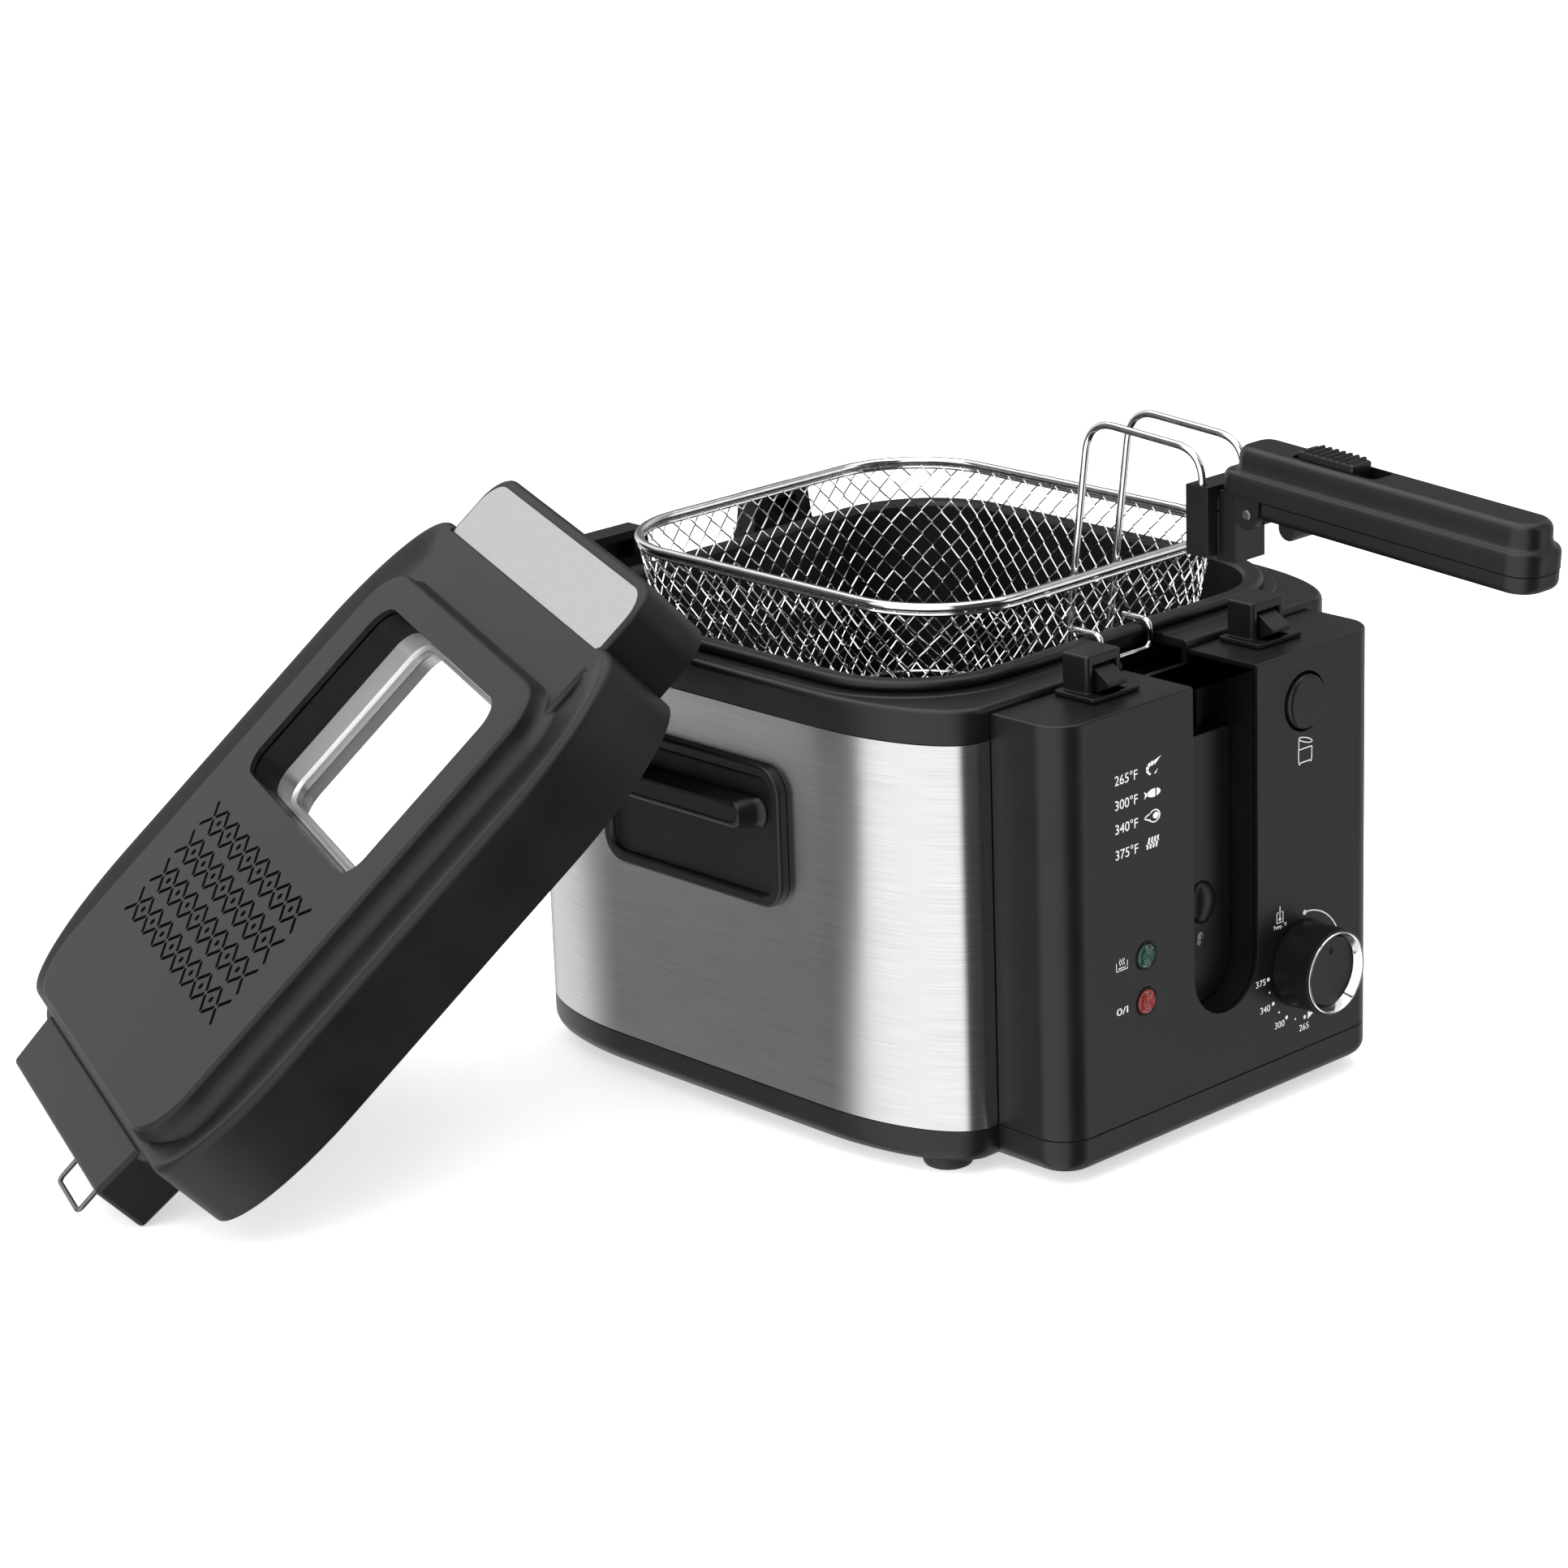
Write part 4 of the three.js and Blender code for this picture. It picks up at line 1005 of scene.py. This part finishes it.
def make_basket():
    """A double rim wire, the woven wall and floor with a wire round the foot, and what they hang from."""
    rim = [Vector((x, y, BASKET_TOP)) for x, y in basket_plan()]
    surface = merged(tube(rim, 2.1, 14, True), tube([p - Vector((0, 0, 3.1)) for p in rim], 0.9, 8, True))
    piece("rim_wire", surface, "chrome", "basket", ("basket_rim",))
    foot = [Vector((x, y, BASKET_FLOOR + 3.2)) for x, y in basket_plan(-1.2, BASKET_TAPER + 0.005)]
    surface = merged(*woven_wall(), *woven_floor(), tube(foot, 0.9, 8, True))
    piece("woven_mesh", surface, "chrome", "basket", ("basket_mesh",))

    for side, sign in SIDES:
        x = sign * 13.5
        side_view = ((-80.5, 205), (-86.2, BASKET_TOP), (-96.2, 318), (-162.3, 313.5), (-161.3, 289.5))
        corners = [(x, y, z) for y, z in side_view]
        surface = tube(bent(corners, 15, 10), 1.7, 14)
        piece(f"arch_wire_{side}", surface, "chrome", "basket", (f"handle_wire_{side}",))
    high, low, rear, front = RIM_HIGH + 1.8, 209.5, -88.5, -104.1
    corners = [(-16, rear, high), (-16, front, high), (-16, front, low)]
    corners += [(16, front, low), (16, front, high), (16, rear, high)]
    piece("rim_hook", tube(bent(corners, 4.5, 8), 1.5, 14), "chrome", "basket", ("drain_hook",))
    refined("handle_bracket", "housing_black", "basket", 0.6)


# -------------------- basket handle
def make_grip():
    """Two shells on the handle's own axis: the upper has a raised back and ears, the lower a stop."""

    def shell(half, rear, end, radius):
        return plan(-half, half, -end, rear, radius, min(radius, 8), n=12)

    bracket_gap = box(-10.1, 10.1, -13, 40, -20, 13.5)
    upper = raw("grip_upper", lofted(shell(15, 17, 148, 12), edged(7.2, 17.4, 0.3, 3.4, 6)), HANDLE)
    ridge = [(-2.2, 13), (-2.0, 17.0), (-1.2, 17.7), (-0.4, 18.8), (0, 20.4)]
    ridge += arc(4.6, 23.4, 4.6, 0, 90, 7)
    carve(upper, lofted(shell(11.5, 12, 145, 10.5), ridge), "UNION")
    ear = swept(0, 0, 6.5, 180, 360, 16) + [(6.5, 9), (-6.5, 9)]
    for _, sign in SIDES:
        carve(upper, sideways(fixed(ear), [(0, sign * 12.4 - 2), (0, sign * 12.4 + 2)]), "UNION")
    carve(upper, bracket_gap)
    carve(upper, lofted(plan(-7, 7, -61, -16, 3, n=8), [(0, 23.6), (0, 40)]))
    soften(upper, 0.5, 2, 50)
    dress(upper, "housing_black", "handle", ("handle_upper",), 40)

    lower = raw("grip_lower", lofted(shell(14.8, 17, 147.8, 12), edged(-1, 6.9, 3.6, 0.3, 6)), HANDLE)
    stop = sideways(lambda inset: disc(-18, -3, 5.5 - inset, 24), [(1, -9), (0, -8), (0, 8), (1, 9)])
    carve(lower, stop, "UNION")
    carve(lower, bracket_gap)
    carve(lower, box(-30, 30, -8.5, 40, -20, 20))
    dress(lower, "housing_black", "handle", ("handle_lower",), 40)


def make_handle():
    """The grip, its pivot pin and the ribbed button that slides in its top."""
    make_grip()
    end = [(2.19, -14.8), (0.5, -14.8), (0, -14.4)]
    pin = end + [(inset, -x) for inset, x in end[::-1]]
    surface = sideways(lambda inset: disc(0, 0, 2.2 - inset, 24), pin)
    piece("hinge_pin", surface, "plain_steel", "handle", ("pivot_pin",), HANDLE)

    base = plan(-6.4, 6.4, -49.5, -19, 1.6, n=6)
    button = raw("slide_button_cap", lofted(base, edged(23.9, 31.3, 0.2, 1.2, 4)), HANDLE)
    for i in range(7):
        y = -45.8 + 3.7 * i
        rib = [(y - 1.2, 30.4), (y - 0.6, 32.3), (y + 0.6, 32.3), (y + 1.2, 30.4)]
        carve(button, sideways(fixed(rib), [(0, -5.9), (0, 5.9)]), "UNION")
    soften(button, 0.25, 2, 40)
    dress(button, "housing_black", "handle_lock", ("slide_button",), 40)


# -------------------- lid
# In the lid's own frame X is across, -Y towards its nose and +Z out of its top.
lid_plan = plan(-141.5, 141.5, -3, 290.5, (33, 76), n=28)
nose_plan = plan(-103.5, 103.5, -37, 40, 17, 2, n=14)
badge_plan = plan(-101, 101, -32.3, 0.3, 14, 1, n=12)
plateau_plan = plan(-106, 106, 29, 286, (22, 24), (26, 30), n=16)
window_plan = plan(-81.8, 81.8, 45, 145.3, 13, n=10)
liner_plan = plan(-128, 128, 26.5, 275, 50, n=20)
VENT_WIDE, VENT_TALL, VENT_FIRST, VENT_STEP = 17.07, 7.5, 171.5, 17.4


def vent_slot(near, far):
    """The outline of a slot with round ends."""
    angle = math.degrees(math.atan2(far[1] - near[1], far[0] - near[0]))
    return swept(*far, 1.05, angle - 90, angle + 90, 3) + swept(*near, 1.05, angle + 90, angle + 270, 3)


def make_vents():
    """Rows of crossed slots that leave diamonds with a round hole in the middle of each."""
    outlines = []
    for row in range(4):
        y = VENT_FIRST + VENT_STEP * row
        for k in range(9):
            x = (k - 4) * VENT_WIDE
            for dx, dy in ((-1, 1), (-1, -1), (1, 1), (1, -1)):
                ends = [(x + dx * VENT_WIDE * f / 2, y + dy * VENT_TALL * f) for f in (0.17, 0.85)]
                outlines.append(vent_slot(*ends))
            if k < 8:
                outlines.append(disc(x + VENT_WIDE / 2, y, 1.7, 10))
    return merged(*(lofted(fixed(outline), [(0, -12), (0, 30)]) for outline in outlines))


def make_cover():
    """A skirt with a rounded shoulder and a shallow gutter inside it, the nose and the raised middle."""
    shoulder = [(0, -38)] + arc(3.6, -1.6, 3.6, 0, 90, 6)
    shoulder += [(6, 1.8), (11, 0.4), (18, -1.5), (24, -2.2), (30, -2.2)]
    shell = raw("lid_cover", lofted(lid_plan, shoulder), LID)
    carve(shell, lofted(nose_plan, edged(-36, 0.4, 0.3, 2.6, 5)), "UNION")
    flare = [(-9, -5), (-8.6, -2.4), (-6, -1.9), (-3.4, -0.6), (-1.5, 1.6), (-0.5, 4)]
    carve(shell, lofted(plateau_plan, flare + arc(2.2, 7.1, 2.2, 0, 90, 6)), "UNION")
    for outline, wall, ceiling in ((lid_plan, WALL, -3), (nose_plan, WALL, -3.2)):
        carve(shell, lofted(outline, [(wall, -39), (wall, ceiling)]))
    carve(shell, lofted(plateau_plan, [(6, -9), (6, 6.6)]))
    carve(shell, lofted(window_plan, [(0, -30), (0, 30)]))
    carve(shell, lofted(badge_plan, [(0, -1.2), (0, 9)]))
    soften(shell, 0.9, 3, 48)
    carve(shell, make_vents())
    dress(shell, "lid_black", "lid", ("lid_shell",), 36)

    plate = lofted(plan(-100.5, 100.5, -31.8, -0.2, 13.6, 0.8, n=12), edged(-0.9, 0.5, 0.1, 0.3, 2))
    piece("badge_plate", plate, "pale_aluminium", "lid", ("lid_plate",), LID)
    seat = [(0.05, -1.1), (0.05, 0.28), (0.5, 0.28), (0.5, -1.1)]
    piece("badge_seat", lofted(badge_plan, seat, True), "rubber", "lid", (), LID)


def make_window():
    """Black walls, then a bright stepped frame that carries the glass on a pale seal."""
    well = [(0.1, 5.5), (-1.6, 5.5), (-1.6, -9), (0.5, -9), (0.5, -8), (0.1, -7)]
    piece("window_well", lofted(window_plan, well, True), "lid_black", "lid", (), LID)
    steps = [(0.3, -7.6), (0.6, -8.4), (1, -16.5), (1.8, -17.4), (2.9, -18), (3.3, -18.9), (3.3, -21.4)]
    steps += [(-2, -21.4), (-2, -9.2), (0.3, -9.2)]
    frame_surface = lofted(window_plan, steps, True)
    piece("window_frame", frame_surface, "pale_aluminium", "lid", ("window_gasket",), LID)
    pane = lofted(window_plan, edged(-25.4, -21.6, 0.4, 0.4, 2))
    piece("window_pane", pane, "glass", "lid", ("window_glass",), LID)
    below = [(0.5, -25.8), (0.5, -30.4), (-1.8, -30.4), (-1.8, -21.6), (-0.3, -21.6), (-0.3, -25.8)]
    piece("window_seal", lofted(window_plan, below, True), "pale_aluminium", "lid", (), LID)


def make_underside():
    """A pressed steel liner with slots under the filter, and a rolled seal round it."""
    sheet = lofted(liner_plan, [(0, -33), (0, -30.2), (7, -30.2), (10, -28.6), (14, -28.4)])
    cover = raw("lid_underside", sheet, LID)
    carve(cover, lofted(window_plan, [(-3, -40), (-3, -20)]))
    for row in range(6):
        for k in range(14):
            x, y = -71.5 + 11 * k, 171 + 11.5 * row
            slot = rounded(x - 4, x + 4, y - 1.6, y + 1.6, 1.5, n=3)
            carve(cover, lofted(fixed(slot), [(0, -40), (0, -20)]))
    dress(cover, "pale_aluminium", "lid", ("lid_liner",))
    seal = [Vector((x, y, -33.4)) for x, y in liner_plan(-2)]
    piece("lid_seal", tube(seal, 2.4, 12, True), "rubber", "lid", (), LID)


def make_lid():
    """The cover, window and underside, with the block and the bail at its back."""
    make_cover()
    make_window()
    make_underside()
    tongue = [(-84, 290.6), (84, 290.6), (80, 318), (-80, 318)]
    rear = raw("hinge_tongue", lofted(fixed(tongue), [(0, -29.5), (0, -0.6)]), LID)
    soften(rear, 2.4, 4, 30)
    dress(rear, "lid_black", "lid", ("lid_hinge_block",), 40)
    corners = [(-62, 316, -9), (-62, 331.6, -9), (-26, 331.6, -9), (-26, 316, -9)]
    piece("bail_wire", tube(bent(corners, 3.4, 6), 1.2, 12), "plain_steel", "lid", ("lid_bail",), LID)


# -------------------- inner CAD nodes keep their shape
def dress_hidden_nodes():
    slots = {row["node"]: row["material_slot"] for row in frame["record"]["subparts"]}
    for name, node in frame["nodes"].items():
        if not node.hide_render:
            node.data.materials.clear()
            node.data.materials.append(finish(slots[name], 1000.0))


make_camera()
make_studio()
make_body()
make_deck()
make_panel()
make_slot()
make_gland()
make_latches()
make_carry_handles()
make_knob()
make_lamps()
make_food_marks()
make_scale()
make_small_marks()
make_pot()
make_basket()
make_handle()
make_lid()
dress_hidden_nodes()
